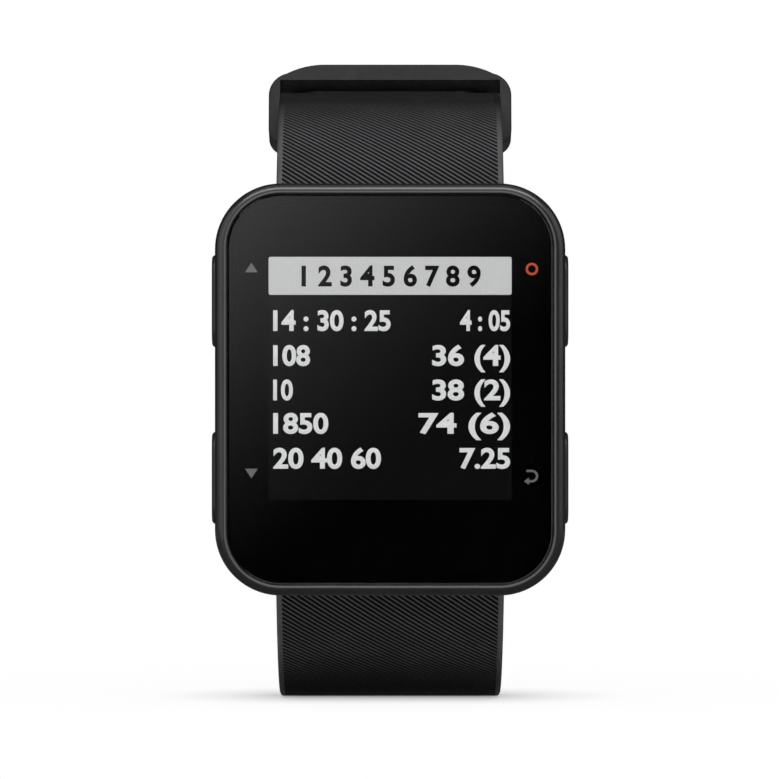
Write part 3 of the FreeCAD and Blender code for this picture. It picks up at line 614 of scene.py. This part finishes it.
def apart(tree, core):
    """How far a place is from a box about the object's origin, which is given by its half sizes."""
    value = tree.nodes.new("ShaderNodeTexCoord").outputs["Object"]
    for operation, number in (("ABSOLUTE", None), ("SUBTRACT", core), ("MAXIMUM", (0, 0, 0))):
        step = tree.nodes.new("ShaderNodeVectorMath")
        step.operation = operation
        if number:
            step.inputs[1].default_value = number
        tree.links.new(value, step.inputs[0])
        value = step.outputs["Vector"]
    size = tree.nodes.new("ShaderNodeVectorMath")
    size.operation = "LENGTH"
    tree.links.new(value, size.inputs[0])
    return size.outputs["Value"]


def shade(colour, factor):
    """A colour made darker or lighter."""
    return tuple(min(1.0, c * factor) for c in colour)


def moulded(name, colour, roughness, grain=0.12 * MM, depth=0.006 * MM, patch=4 * MM, level=0.5):
    """Moulded plastic or rubber: fine grain, faint mottling and patches of another gloss."""
    f = Finish(name)
    patches = f.noise(patch, 4.0)
    f.feed("Base Color", f.tones(patches, shade(colour, 0.85), shade(colour, 1.15)))
    f.feed("Roughness", f.spread(f.noise(patch / 3, 5.0), roughness * 0.88, roughness * 1.12))
    f.bump(f.noise(grain, 2.0), depth)
    f.set(Specular_IOR_Level=level)
    return f.material


def ribbed(name, rib_highlight, rubber_colour, groove):
    """The strap's rubber: a painted highlight makes the ribs paler in front, and painted shade makes the
    grooves dark; the grooves are also matt.
    """
    f = Finish(name)
    depth = f.ramp(f.add("ShaderNodeAttribute", attribute_name=GROOVE).outputs["Fac"], 0.1, 0.5)
    place_of = f.add("ShaderNodeSeparateXYZ")
    f.tree.links.new(f.where, place_of.inputs["Vector"])
    # Painted highlight: the ribs' colour fades from the highlight in front to the rubber's own colour
    # behind
    highlight_fade = f.ramp(place_of.outputs["Y"], HIGHLIGHT_TO, HIGHLIGHT_GONE_FROM)
    mottle = f.noise(4 * MM, 4.0)
    highlighted = f.tones(mottle, shade(rib_highlight, 0.88), shade(rib_highlight, 1.12))
    plain_ribs = f.tones(mottle, shade(rubber_colour, 0.85), shade(rubber_colour, 1.15))
    ribs = f.blend("RGBA", highlight_fade, highlighted, plain_ribs)
    # Painted shade in the grooves, over the ribs' colour
    f.feed("Base Color", f.blend("RGBA", depth, ribs, (*groove, 1)))
    f.feed("Roughness", f.blend("FLOAT", depth, f.spread(f.noise(1.3 * MM, 5.0), 0.34, 0.44), 0.9))
    f.bump(f.noise(0.12 * MM, 2.0), 0.004 * MM)
    f.set(Specular_IOR_Level=0.2)
    return f.material


def lipped(name, colour, lip_highlight, roughness):
    """The bezel's satin plastic, with a paler lip along the lens that is a painted highlight."""
    f = Finish(name)
    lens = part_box("lens")[1]
    core = (lens.x - LENS_CORNER, CARD_REACH, lens.z - LENS_CORNER)
    edge = f.add("ShaderNodeValToRGB")
    stops = edge.color_ramp.elements
    for at, share in LIP_STOPS:
        stop = stops.new(at)
        stop.color = (share, share, share, 1)
    stops.remove(stops[-1])
    stops.remove(stops[0])
    near = f.ramp(apart(f.tree, core), LENS_CORNER + LIP_FROM, LENS_CORNER + LIP_TO)
    f.tree.links.new(near, edge.inputs["Fac"])
    body = f.tones(f.noise(4 * MM, 4.0), shade(colour, 0.85), shade(colour, 1.15))
    # Painted highlight along the lip
    f.feed("Base Color", f.blend("RGBA", edge.outputs["Color"], body, (*lip_highlight, 1)))
    f.feed("Roughness", f.spread(f.noise(1.3 * MM, 5.0), roughness * 0.88, roughness * 1.12))
    f.bump(f.noise(0.12 * MM, 2.0), 0.003 * MM)
    return f.material


def metal(name, colour, roughness, brush=(1, 1, 1), grain=0.08 * MM, depth=0.002 * MM):
    """Metal with fine lines along one way and a little tarnish."""
    f = Finish(name)
    f.set(Metallic=1.0)
    f.feed("Base Color", f.tones(f.noise(2 * MM, 4.0), shade(colour, 0.9), shade(colour, 1.08)))
    f.feed("Roughness", f.spread(f.noise(grain, 3.0, brush), roughness * 0.75, roughness * 1.3))
    f.bump(f.noise(grain, 2.0, brush), depth)
    return f.material


def glass(name):
    """Polished cover glass with the faintest haze."""
    f = Finish(name)
    f.set(Transmission_Weight=1.0, IOR=1.5, Base_Color=(0.97, 0.975, 0.98, 1))
    f.feed("Roughness", f.spread(f.noise(3 * MM, 3.0), 0.012, 0.03))
    f.bump(f.noise(9 * MM, 1.0), 0.001 * MM, 0.2)
    return f.material


def ink(name, colour, glow=0.0):
    """Printed or lit colour behind the glass, without gloss."""
    f = Finish(name)
    specks = f.noise(0.09 * MM, 1.0)
    dark, light = shade(colour, 0.94), shade(colour, 1.06)
    body = 0.3 if glow else 1.0
    f.feed("Base Color", f.tones(specks, shade(dark, body), shade(light, body)))
    f.feed("Roughness", f.spread(f.noise(0.5 * MM), 0.5, 0.65))
    f.bump(specks, 0.0005 * MM, 0.3)
    f.set(Specular_IOR_Level=0.0)
    if glow:
        f.feed("Emission Color", f.tones(specks, dark, light))
        f.set(Emission_Strength=glow)
    return f.material


def dress(material, *nodes):
    """Puts a material on CAD nodes."""
    for name in nodes:
        obj = NODES[name]
        if not obj.material_slots:
            obj.data.materials.append(material)
        for one in obj.material_slots:
            one.material = material


# The picture


def number_mesh(text):
    """Plain numbers as a flat mesh in the built-in typeface, one unit tall in the em."""
    curve = bpy.data.curves.new("numbers", "FONT")
    curve.body, curve.offset, curve.resolution_u = text, NUMBER_BOLD, 6
    obj = piece("numbers", curve, None)
    mesh = bpy.data.meshes.new_from_object(obj.evaluated_get(bpy.context.evaluated_depsgraph_get()))
    bpy.data.objects.remove(obj)
    bpy.data.curves.remove(curve)
    return mesh


def set_numbers(bm, text, x0, x1, base, height):
    """Adds a line of numbers that fills the width from x0 to x1 and stands on its base."""
    mesh, ruler = number_mesh(text), number_mesh("0")
    tall = [v.co.y for v in ruler.vertices]
    wide = [v.co.x for v in mesh.vertices]
    across, up = (x1 - x0) / (max(wide) - min(wide)), height / (max(tall) - min(tall))
    left = min(wide)
    part = bmesh.new()
    part.from_mesh(mesh)
    bmesh.ops.remove_doubles(part, verts=part.verts, dist=1e-5)
    made = bmesh.ops.extrude_face_region(part, geom=part.faces[:])
    lifted = {v for v in made["geom"] if isinstance(v, bmesh.types.BMVert)}
    for v in part.verts:
        y = PICTURE_Y - (LAYER * 0.6 if v in lifted else 0.0)
        v.co = (x0 + (v.co.x - left) * across, y, base + (v.co.y - min(tall)) * up)
    part.to_mesh(mesh)
    part.free()
    bm.from_mesh(mesh)
    for used in (mesh, ruler):
        bpy.data.meshes.remove(used)


def frame_plate(bm, outer, inner, y):
    """A thin plate with a window; both outlines have the same number of points."""
    loops = [[bm.verts.new((x, depth, z)) for x, z in outline]
             for outline in (outer, inner) for depth in (y, y + LAYER)]
    outer_front, outer_back, inner_front, inner_back = loops
    for i in range(len(outer)):
        j = (i + 1) % len(outer)
        bm.faces.new((outer_front[i], outer_front[j], inner_front[j], inner_front[i]))
        bm.faces.new((outer_back[i], inner_back[i], inner_back[j], outer_back[j]))
        bm.faces.new((outer_front[i], outer_back[i], outer_back[j], outer_front[j]))
        bm.faces.new((inner_front[i], inner_front[j], inner_back[j], inner_back[i]))


def show(name, bm, material):
    """Adds a finished plate of the picture to the watch."""
    mesh = mesh_of(bm, name)
    mesh.materials.append(material)
    obj = piece(name, mesh)


# Operators


class WATCH_OT_case(bpy.types.Operator):
    """Give the case and the bezel their moulded finish"""

    bl_idname = "watch.case"
    bl_label = "Case and bezel"

    def execute(self, context):
        s = context.scene.watch_case
        dress(moulded("case plastic", s.case, 0.42), "mid_case")
        dress(lipped("bezel plastic", s.bezel, s.lip_highlight, s.bezel_roughness), "bezel_ring")
        return {"FINISHED"}


class WATCH_OT_buttons(bpy.types.Operator):
    """Give the four buttons, their clips and their seals a finish"""

    bl_idname = "watch.buttons"
    bl_label = "Buttons"

    def execute(self, context):
        s = context.scene.watch_case
        dress(moulded("button plastic", s.bezel, 0.36), *[f"button_{b}" for b in BUTTONS])
        dress(metal("clip steel", STEEL, 0.3), *[f"button_{b}_clip" for b in BUTTONS])
        dress(moulded("seal rubber", SEAL_BLACK, 0.6), *[f"button_{b}_seal" for b in BUTTONS])
        return {"FINISHED"}


class WATCH_OT_glass(bpy.types.Operator):
    """Polish the lens and blacken the glue that holds it"""

    bl_idname = "watch.glass"
    bl_label = "Glass"

    def execute(self, context):
        dress(glass("cover glass"), "lens")
        dress(moulded("black glue", INK_BLACK, 0.02, depth=0.0), "lens_adhesive")
        return {"FINISHED"}


class WATCH_OT_screen(bpy.types.Operator):
    """Make the printed border, the screen's panel, its header bar and its numbers"""

    bl_idname = "watch.screen"
    bl_label = "Screen"

    def execute(self, context):
        s = context.scene.watch_screen
        glue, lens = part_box("lens_adhesive")[1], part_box("lens")[1]
        half_w, half_h = glue.x - BORDER_RIM, glue.z - BORDER_RIM
        border = rounded(-half_w, half_w, -half_h, half_h, BORDER_CORNER)
        bottom, top = SCREEN_Z - SCREEN_HALF, SCREEN_Z + SCREEN_HALF
        bm = bmesh.new()
        frame_plate(bm, border, rounded(-SCREEN_HALF, SCREEN_HALF, bottom, top, WINDOW_CORNER), BORDER_Y)
        show("glass_border", bm, ink("border ink", INK_BLACK))

        wide, high, corner = (size - EDGE_INK_RIM for size in (lens.x, lens.z, LENS_CORNER))
        bm = bmesh.new()
        frame_plate(bm, rounded(-wide, wide, -high, high, corner), border, EDGE_INK_Y)
        show("glass_edge_ink", bm, moulded("edge ink", INK_BLACK, 0.02, depth=0.0))

        half = SCREEN_HALF + PANEL_SPARE
        bm = bmesh.new()
        layer(bm, rounded(-half, half, bottom - PANEL_SPARE, top + PANEL_SPARE, PANEL_SPARE), PANEL_Y)
        show("screen_panel", bm, ink("dark panel", (s.panel,) * 3, 1.0))

        bm = bmesh.new()
        layer(bm, rounded(-SCREEN_HALF, SCREEN_HALF, HEADER_LOW, top, HEADER_CORNER), PANEL_Y - 1.1 * LAYER)
        show("screen_header", bm, ink("header light", (s.header,) * 3, 0.9))

        start, end, base = (value * MM for value in HEADER_LINE)
        bm = bmesh.new()
        set_numbers(bm, "1 2 3 4 5 6 7 8 9", start, end, base, s.number_height)
        show("header_numbers", bm, ink("dark numbers", (0.004, 0.004, 0.004)))

        bm = bmesh.new()
        for base, left, left_end, right, right_start in ROWS:
            set_numbers(bm, left, ROWS_LEFT * MM, left_end * MM, base * MM, s.number_height)
            set_numbers(bm, right, right_start * MM, ROWS_RIGHT * MM, base * MM, s.number_height)
        show("screen_numbers", bm, ink("light numbers", (s.numbers,) * 3, 0.9))
        return {"FINISHED"}


class WATCH_OT_signs(bpy.types.Operator):
    """Print a plain sign on the border beside each button, glowing with painted light"""

    bl_idname = "watch.signs"
    bl_label = "Button signs"

    def execute(self, context):
        s = context.scene.watch_screen
        bm = bmesh.new()
        for z, way in ((UP_Z, 1), (DOWN_Z, -1)):
            base = z - way * ARROW_TALL / 2
            layer(bm, [(SIGNS_LEFT - ARROW_HALF, base), (SIGNS_LEFT + ARROW_HALF, base),
                       (SIGNS_LEFT, z + way * ARROW_TALL / 2)], SIGNS_Y)
        self.back_arrow(bm, SIGNS_RIGHT, BACK_Z)
        # Painted light: the printed signs glow
        show("grey_signs", bm, ink("grey sign ink", s.sign, 0.8))
        bm = bmesh.new()
        outer, inner = ([(SIGNS_RIGHT + x, OK_Z + z) for x, z in circle(radius, 40)]
                        for radius in (RING_OUT, RING_IN))
        frame_plate(bm, outer, inner, SIGNS_Y)
        # Painted light: this printed sign glows too
        show("warm_sign", bm, ink("warm sign ink", s.warm_sign, 0.8))
        return {"FINISHED"}

    @staticmethod
    def back_arrow(bm, x, z):
        """An arrow that runs down and turns back to the left."""
        outer, inner, steps = 0.62 * MM, 0.4 * MM, 12
        arc = [math.radians(90 - 180 * i / steps) for i in range(steps + 1)]
        tail = 0.55 * MM
        outline = [(x - tail, z + outer),
                   *[(x + outer * math.cos(a), z + outer * math.sin(a)) for a in arc],
                   (x - tail * 0.5, z - outer), (x - tail * 0.5, z - inner),
                   *[(x + inner * math.cos(a), z + inner * math.sin(a)) for a in reversed(arc)],
                   (x - tail, z + inner)]
        layer(bm, outline, SIGNS_Y)
        mid, wing = z - (outer + inner) / 2, 0.36 * MM
        layer(bm, [(x - tail * 0.5, mid + wing), (x - tail * 0.5 - 1.4 * wing, mid),
                   (x - tail * 0.5, mid - wing)], SIGNS_Y)


class WATCH_OT_upper_strap(bpy.types.Operator):
    """Make the ribbed upper strap, with its head and the notch for the prong"""

    bl_idname = "watch.upper_strap"
    bl_label = "Upper strap"

    def execute(self, context):
        s = context.scene.watch_strap
        obj = strap("ribbed_upper_strap", s, (UPPER_FROM, UPPER_TO), UPPER_RIBS, upper_shape)
        joins, cuts = bmesh.new(), bmesh.new()
        head, end = lug_at("upper_lug_pin"), place(PIN_RADIUS, PIN_AT)
        rod(joins, HEAD_R, STRAP_HALF - ROD_SHORT, head)
        rod(joins, STRAP_THICK / 2 - 0.01 * MM, STRAP_HALF - ROD_SHORT, end)
        rod(cuts, PIN_BORE_R, STRAP_HALF + MM, head)
        rod(cuts, END_BORE_R, STRAP_HALF + MM, end)
        under, over = STRAP_OUT - NOTCH_REACH, STRAP_OUT + NOTCH_REACH
        corners = [(under, NOTCH_FROM), (over, NOTCH_FROM), (over, NOTCH_TO), (under, NOTCH_TO)]
        prism(cuts, corners, lambda r, a: place(r, a, -NOTCH_HALF), lambda r, a: place(r, a, NOTCH_HALF))
        finish_strap(obj, joins, cuts, "upper_strap", ribbed("strap rubber", s.rib_highlight, s.rubber, s.groove))
        return {"FINISHED"}


class WATCH_OT_lower_strap(bpy.types.Operator):
    """Make the ribbed lower strap, with its head and its nine adjusting holes"""

    bl_idname = "watch.lower_strap"
    bl_label = "Lower strap"

    def execute(self, context):
        s = context.scene.watch_strap
        obj = strap("ribbed_lower_strap", s, (LOWER_FROM, LOWER_TO), LOWER_RIBS, lower_shape)
        joins, cuts = bmesh.new(), bmesh.new()
        head = lug_at("lower_lug_pin")
        rod(joins, HEAD_R, STRAP_HALF - ROD_SHORT, head)
        rod(cuts, PIN_BORE_R, STRAP_HALF + MM, head)
        for i in HOLE_PLACES:
            slot_cut(cuts, HOLE_AT + i * HOLE_STEP)
        finish_strap(obj, joins, cuts, "lower_strap", bpy.data.materials["strap rubber"])
        return {"FINISHED"}


class WATCH_OT_keepers(bpy.types.Operator):
    """Give the loose and the fixed keeper their smooth rubber"""

    bl_idname = "watch.keepers"
    bl_label = "Keepers"

    def execute(self, context):
        s = context.scene.watch_strap
        dress(moulded("keeper rubber", s.keeper, 0.55, patch=3 * MM, level=0.15),
              "strap_keeper", "fixed_keeper")
        return {"FINISHED"}


class WATCH_OT_buckle(bpy.types.Operator):
    """Give the buckle, its prong and the three pins a metal finish"""

    bl_idname = "watch.buckle"
    bl_label = "Buckle and pins"

    def execute(self, context):
        s = context.scene.watch_case
        dress(metal("dark coating", s.coating, 0.35, (1, 12, 12)), "buckle_frame", "buckle_prong")
        dress(metal("pin steel", (0.55, 0.55, 0.56), 0.28, (12, 1, 1)),
              "buckle_pin", "upper_lug_pin", "lower_lug_pin")
        return {"FINISHED"}


class WATCH_OT_back(bpy.types.Operator):
    """Give the back cover, its screws, its gasket and the charging contacts a finish"""

    bl_idname = "watch.back"
    bl_label = "Back cover"

    def execute(self, context):
        s = context.scene.watch_case
        dress(moulded("cover plastic", s.case, 0.5, grain=0.2 * MM, depth=0.012 * MM), "back_cover")
        dress(moulded("gasket rubber", SEAL_BLACK, 0.6), "back_cover_gasket")
        dress(metal("screw steel", STEEL, 0.3), "back_cover_screws")
        dress(metal("gold plate", (0.9, 0.62, 0.25), 0.22), "charge_contacts", "contact_springs")
        return {"FINISHED"}


class WATCH_OT_inside(bpy.types.Operator):
    """Give the pieces inside the case their finishes"""

    bl_idname = "watch.inside"
    bl_label = "Inside"

    def execute(self, context):
        dress(moulded("display glass", (0.006, 0.006, 0.007), 0.2), "display_module")
        dress(moulded("frame plastic", (0.05, 0.05, 0.055), 0.5), "display_frame")
        dress(moulded("flex film", (0.35, 0.16, 0.04), 0.35), "display_flex")
        dress(moulded("board mask", (0.01, 0.09, 0.035), 0.4), "main_board")
        dress(moulded("switch plastic", (0.06, 0.06, 0.06), 0.5), "tact_switches")
        dress(moulded("pad foam", (0.04, 0.04, 0.04), 0.8, 0.4 * MM, 0.1 * MM), "battery_pad")
        dress(metal("antenna brass", (0.75, 0.6, 0.3), 0.3), "gps_antenna")
        dress(metal("can steel", (0.55, 0.55, 0.57), 0.3, (1, 1, 10)), "shield_can", "board_screws")
        dress(metal("battery foil", (0.6, 0.6, 0.62), 0.35), "battery")
        return {"FINISHED"}


class WATCH_OT_stage(bpy.types.Operator):
    """Set the floor, the surroundings, the lamps and the camera"""

    bl_idname = "watch.stage"
    bl_label = "Stage"

    def execute(self, context):
        s = context.scene.watch_stage
        self.surroundings(context.scene, s)
        self.floor()
        self.cards(s)
        for name, azimuth, elevation, size, share in LAMPS:
            self.lamp(name, azimuth, elevation, size, s.key_power * share)
        self.camera(context.scene, s)
        context.scene.view_settings.view_transform = "Standard"
        return {"FINISHED"}

    @staticmethod
    def seen(tree):
        """1 for rays from the camera, from gloss and through glass, and 0 for soft light."""
        path = tree.nodes.new("ShaderNodeLightPath")
        value = path.outputs["Is Camera Ray"]
        for other in ("Is Glossy Ray", "Is Transmission Ray"):
            both = tree.nodes.new("ShaderNodeMath")
            both.operation = "MAXIMUM"
            tree.links.new(value, both.inputs[0])
            tree.links.new(path.outputs[other], both.inputs[1])
            value = both.outputs["Value"]
        return value

    @staticmethod
    def step(tree, operation, value, number):
        """One sum with a value and a fixed number."""
        node = tree.nodes.new("ShaderNodeMath")
        node.operation = operation
        node.inputs[1].default_value = number
        tree.links.new(value, node.inputs[0])
        return node.outputs["Value"]

    @staticmethod
    def paper(name, mesh):
        """Gives a mesh a new material and returns its empty node tree."""
        material = bpy.data.materials.new(name)
        mesh.materials.append(material)
        material.use_nodes = True
        material.node_tree.nodes.clear()
        return material.node_tree

    @staticmethod
    def mix(tree, share, first, second):
        """The first shader where the share is 0 and the second where it is 1."""
        node = tree.nodes.new("ShaderNodeMixShader")
        for i, value in enumerate((share, first, second)):
            tree.links.new(value, node.inputs[i])
        return node.outputs["Shader"]

    def surroundings(self, scene, s):
        """White to look at, and a dimmer white as soft light."""
        world = bpy.data.worlds.new("surroundings")
        scene.world = world
        world.use_nodes = True
        tree = world.node_tree
        tree.nodes.clear()
        soft, white = (tree.nodes.new("ShaderNodeBackground") for _ in range(2))
        soft.inputs["Strength"].default_value = s.ambient
        for one in (soft, white):
            one.inputs["Color"].default_value = WHITE
        out = tree.nodes.new("ShaderNodeOutputWorld")
        made = self.mix(tree, self.seen(tree), soft.outputs[0], white.outputs[0])
        tree.links.new(made, out.inputs["Surface"])
        world.cycles.sampling_method = "NONE"

    def floor(self):
        """A pale floor that is white away from the watch and keeps its contact shadow."""
        bm = bmesh.new()
        bmesh.ops.create_circle(bm, cap_ends=True, segments=96, radius=FLOOR_REACH)
        mesh = mesh_of(bm, "floor")
        obj = piece("floor", mesh, None)
        obj.location = (0, LOOP.y, FLOOR_Z)
        tree = self.paper("floor paper", mesh)
        diffuse = tree.nodes.new("ShaderNodeBsdfDiffuse")
        diffuse.inputs["Color"].default_value = (FLOOR_TONE, FLOOR_TONE, FLOOR_TONE, 1)
        white = tree.nodes.new("ShaderNodeEmission")
        reach = apart(tree, (0.8 * STRAP_HALF, 0, 0))
        fades = []
        for start, end, most, power in FLOOR_FADES:
            fade = tree.nodes.new("ShaderNodeMapRange")
            fade.inputs["From Min"].default_value, fade.inputs["From Max"].default_value = start, end
            tree.links.new(reach, fade.inputs["Value"])
            curve = self.step(tree, "POWER", fade.outputs["Result"], power)
            fades.append(self.step(tree, "MULTIPLY", curve, most))
        near = self.mix(tree, fades[0], diffuse.outputs[0], white.outputs[0])
        far = self.mix(tree, fades[1], near, white.outputs[0])
        made = self.mix(tree, self.seen(tree), diffuse.outputs[0], far)
        out = tree.nodes.new("ShaderNodeOutputMaterial")
        tree.links.new(made, out.inputs["Surface"])

    def cards(self, s):
        """Dark cards round the watch and a dim one on the floor, which only the gloss sees.

        The front one is lighter to its upper left, and the glass mirrors that."""
        sides = {"left": (-1, 0, 0), "right": (1, 0, 0), "top": (0, 0, 1), "back": (0, 1, 0)}
        for name, way in sides.items():
            self.card(name, Vector(way) * CARD_REACH).inputs["Strength"].default_value = s.dark_card
        low = Vector((0, LOOP.y, FLOOR_Z + 0.01 * MM))
        self.card("low", low, LOW_CARD_REACH).inputs["Strength"].default_value = s.low_card
        shine = self.card("front", Vector((0, -CARD_REACH, 0)))
        tree = shine.id_data
        where = tree.nodes.new("ShaderNodeTexCoord")
        slant = tree.nodes.new("ShaderNodeVectorMath")
        slant.operation = "DOT_PRODUCT"
        slant.inputs[1].default_value = SHEEN_SLOPE
        tree.links.new(where.outputs["Object"], slant.inputs[0])
        value = slant.outputs["Value"]
        for operation, number in (("ADD", SHEEN_START), ("MAXIMUM", 0.0), ("POWER", 2.0),
                                  ("MULTIPLY", s.sheen), ("MINIMUM", SHEEN_MOST)):
            value = self.step(tree, operation, value, number)
        tree.links.new(value, shine.inputs["Strength"])

    def card(self, name, middle, half=CARD_REACH):
        """Makes one square card and returns the shader that gives it its glow."""
        bm = bmesh.new()
        turn = Matrix() if name == "low" else middle.to_track_quat("Z", "Y").to_matrix().to_4x4()
        bmesh.ops.create_grid(bm, x_segments=1, y_segments=1, size=half,
                              matrix=Matrix.Translation(middle) @ turn)
        mesh = bpy.data.meshes.new(f"{name}_card")
        bm.to_mesh(mesh)
        bm.free()
        obj = piece(f"{name}_card", mesh, None)
        obj.visible_camera = obj.visible_diffuse = obj.visible_shadow = False
        tree = self.paper(f"{name} card paper", mesh)
        glow = tree.nodes.new("ShaderNodeEmission")
        out = tree.nodes.new("ShaderNodeOutputMaterial")
        tree.links.new(glow.outputs[0], out.inputs["Surface"])
        return glow

    @staticmethod
    def lamp(name, azimuth, elevation, size, power):
        """A soft lamp that looks at the watch from an angle to the right of its front and above it."""
        light = bpy.data.lights.new(name, "AREA")
        light.shape = "RECTANGLE"
        light.size, light.size_y = size
        light.energy = power
        obj = piece(name, light, None)
        turn, rise = math.radians(azimuth), math.radians(elevation)
        away = Vector((math.cos(rise) * math.sin(turn), -math.cos(rise) * math.cos(turn), math.sin(rise)))
        obj.location = LAMP_DISTANCE * away
        obj.rotation_euler = (-away).to_track_quat("-Z", "Y").to_euler()
        obj.visible_camera = False

    @staticmethod
    def camera(scene, s):
        """A level camera straight in front of the watch."""
        data = bpy.data.cameras.new("camera")
        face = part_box("bezel_ring")[0].y
        data.sensor_width = SENSOR_WIDTH
        data.lens = data.sensor_width * (s.distance + face) / s.view_width
        data.clip_start, data.clip_end = 0.01, 20.0
        obj = piece("camera", data, None)
        obj.location = (CAMERA_X, -s.distance, 0.0)
        obj.rotation_euler = (math.pi / 2, 0.0, 0.0)
        scene.camera = obj


class WATCH_PT_looks(bpy.types.Panel):
    """The watch's pieces and stage, in the order in which they are made"""

    bl_idname = "WATCH_PT_looks"
    bl_label = "Golf GPS watch"
    bl_space_type = "VIEW_3D"
    bl_region_type = "UI"
    bl_category = "Watch"

    def draw(self, context):
        for group in SETTINGS:
            box = self.layout.box()
            values = getattr(context.scene, group)
            for name in values.bl_rna.properties.keys():
                if name not in ("rna_type", "name"):
                    box.prop(values, name)
        for made in STEPS:
            self.layout.operator(made.bl_idname)


SETTINGS = {
    "watch_strap": WatchStrapSettings,
    "watch_case": WatchCaseSettings,
    "watch_screen": WatchScreenSettings,
    "watch_stage": WatchStageSettings,
}
STEPS = (
    WATCH_OT_case, WATCH_OT_buttons, WATCH_OT_glass, WATCH_OT_screen, WATCH_OT_signs,
    WATCH_OT_upper_strap, WATCH_OT_lower_strap, WATCH_OT_keepers, WATCH_OT_buckle, WATCH_OT_back,
    WATCH_OT_inside, WATCH_OT_stage,
)


def register():
    for cls in (*SETTINGS.values(), *STEPS, WATCH_PT_looks):
        bpy.utils.register_class(cls)
    for name, cls in SETTINGS.items():
        setattr(bpy.types.Scene, name, bpy.props.PointerProperty(type=cls))


def unregister():
    for name in SETTINGS:
        delattr(bpy.types.Scene, name)
    for cls in reversed((*SETTINGS.values(), *STEPS, WATCH_PT_looks)):
        bpy.utils.unregister_class(cls)


def main():
    """Makes every piece and the stage."""
    register()
    for made in STEPS:
        family, name = made.bl_idname.split(".")
        getattr(getattr(bpy.ops, family), name)()


if __name__ == "__main__":
    main()
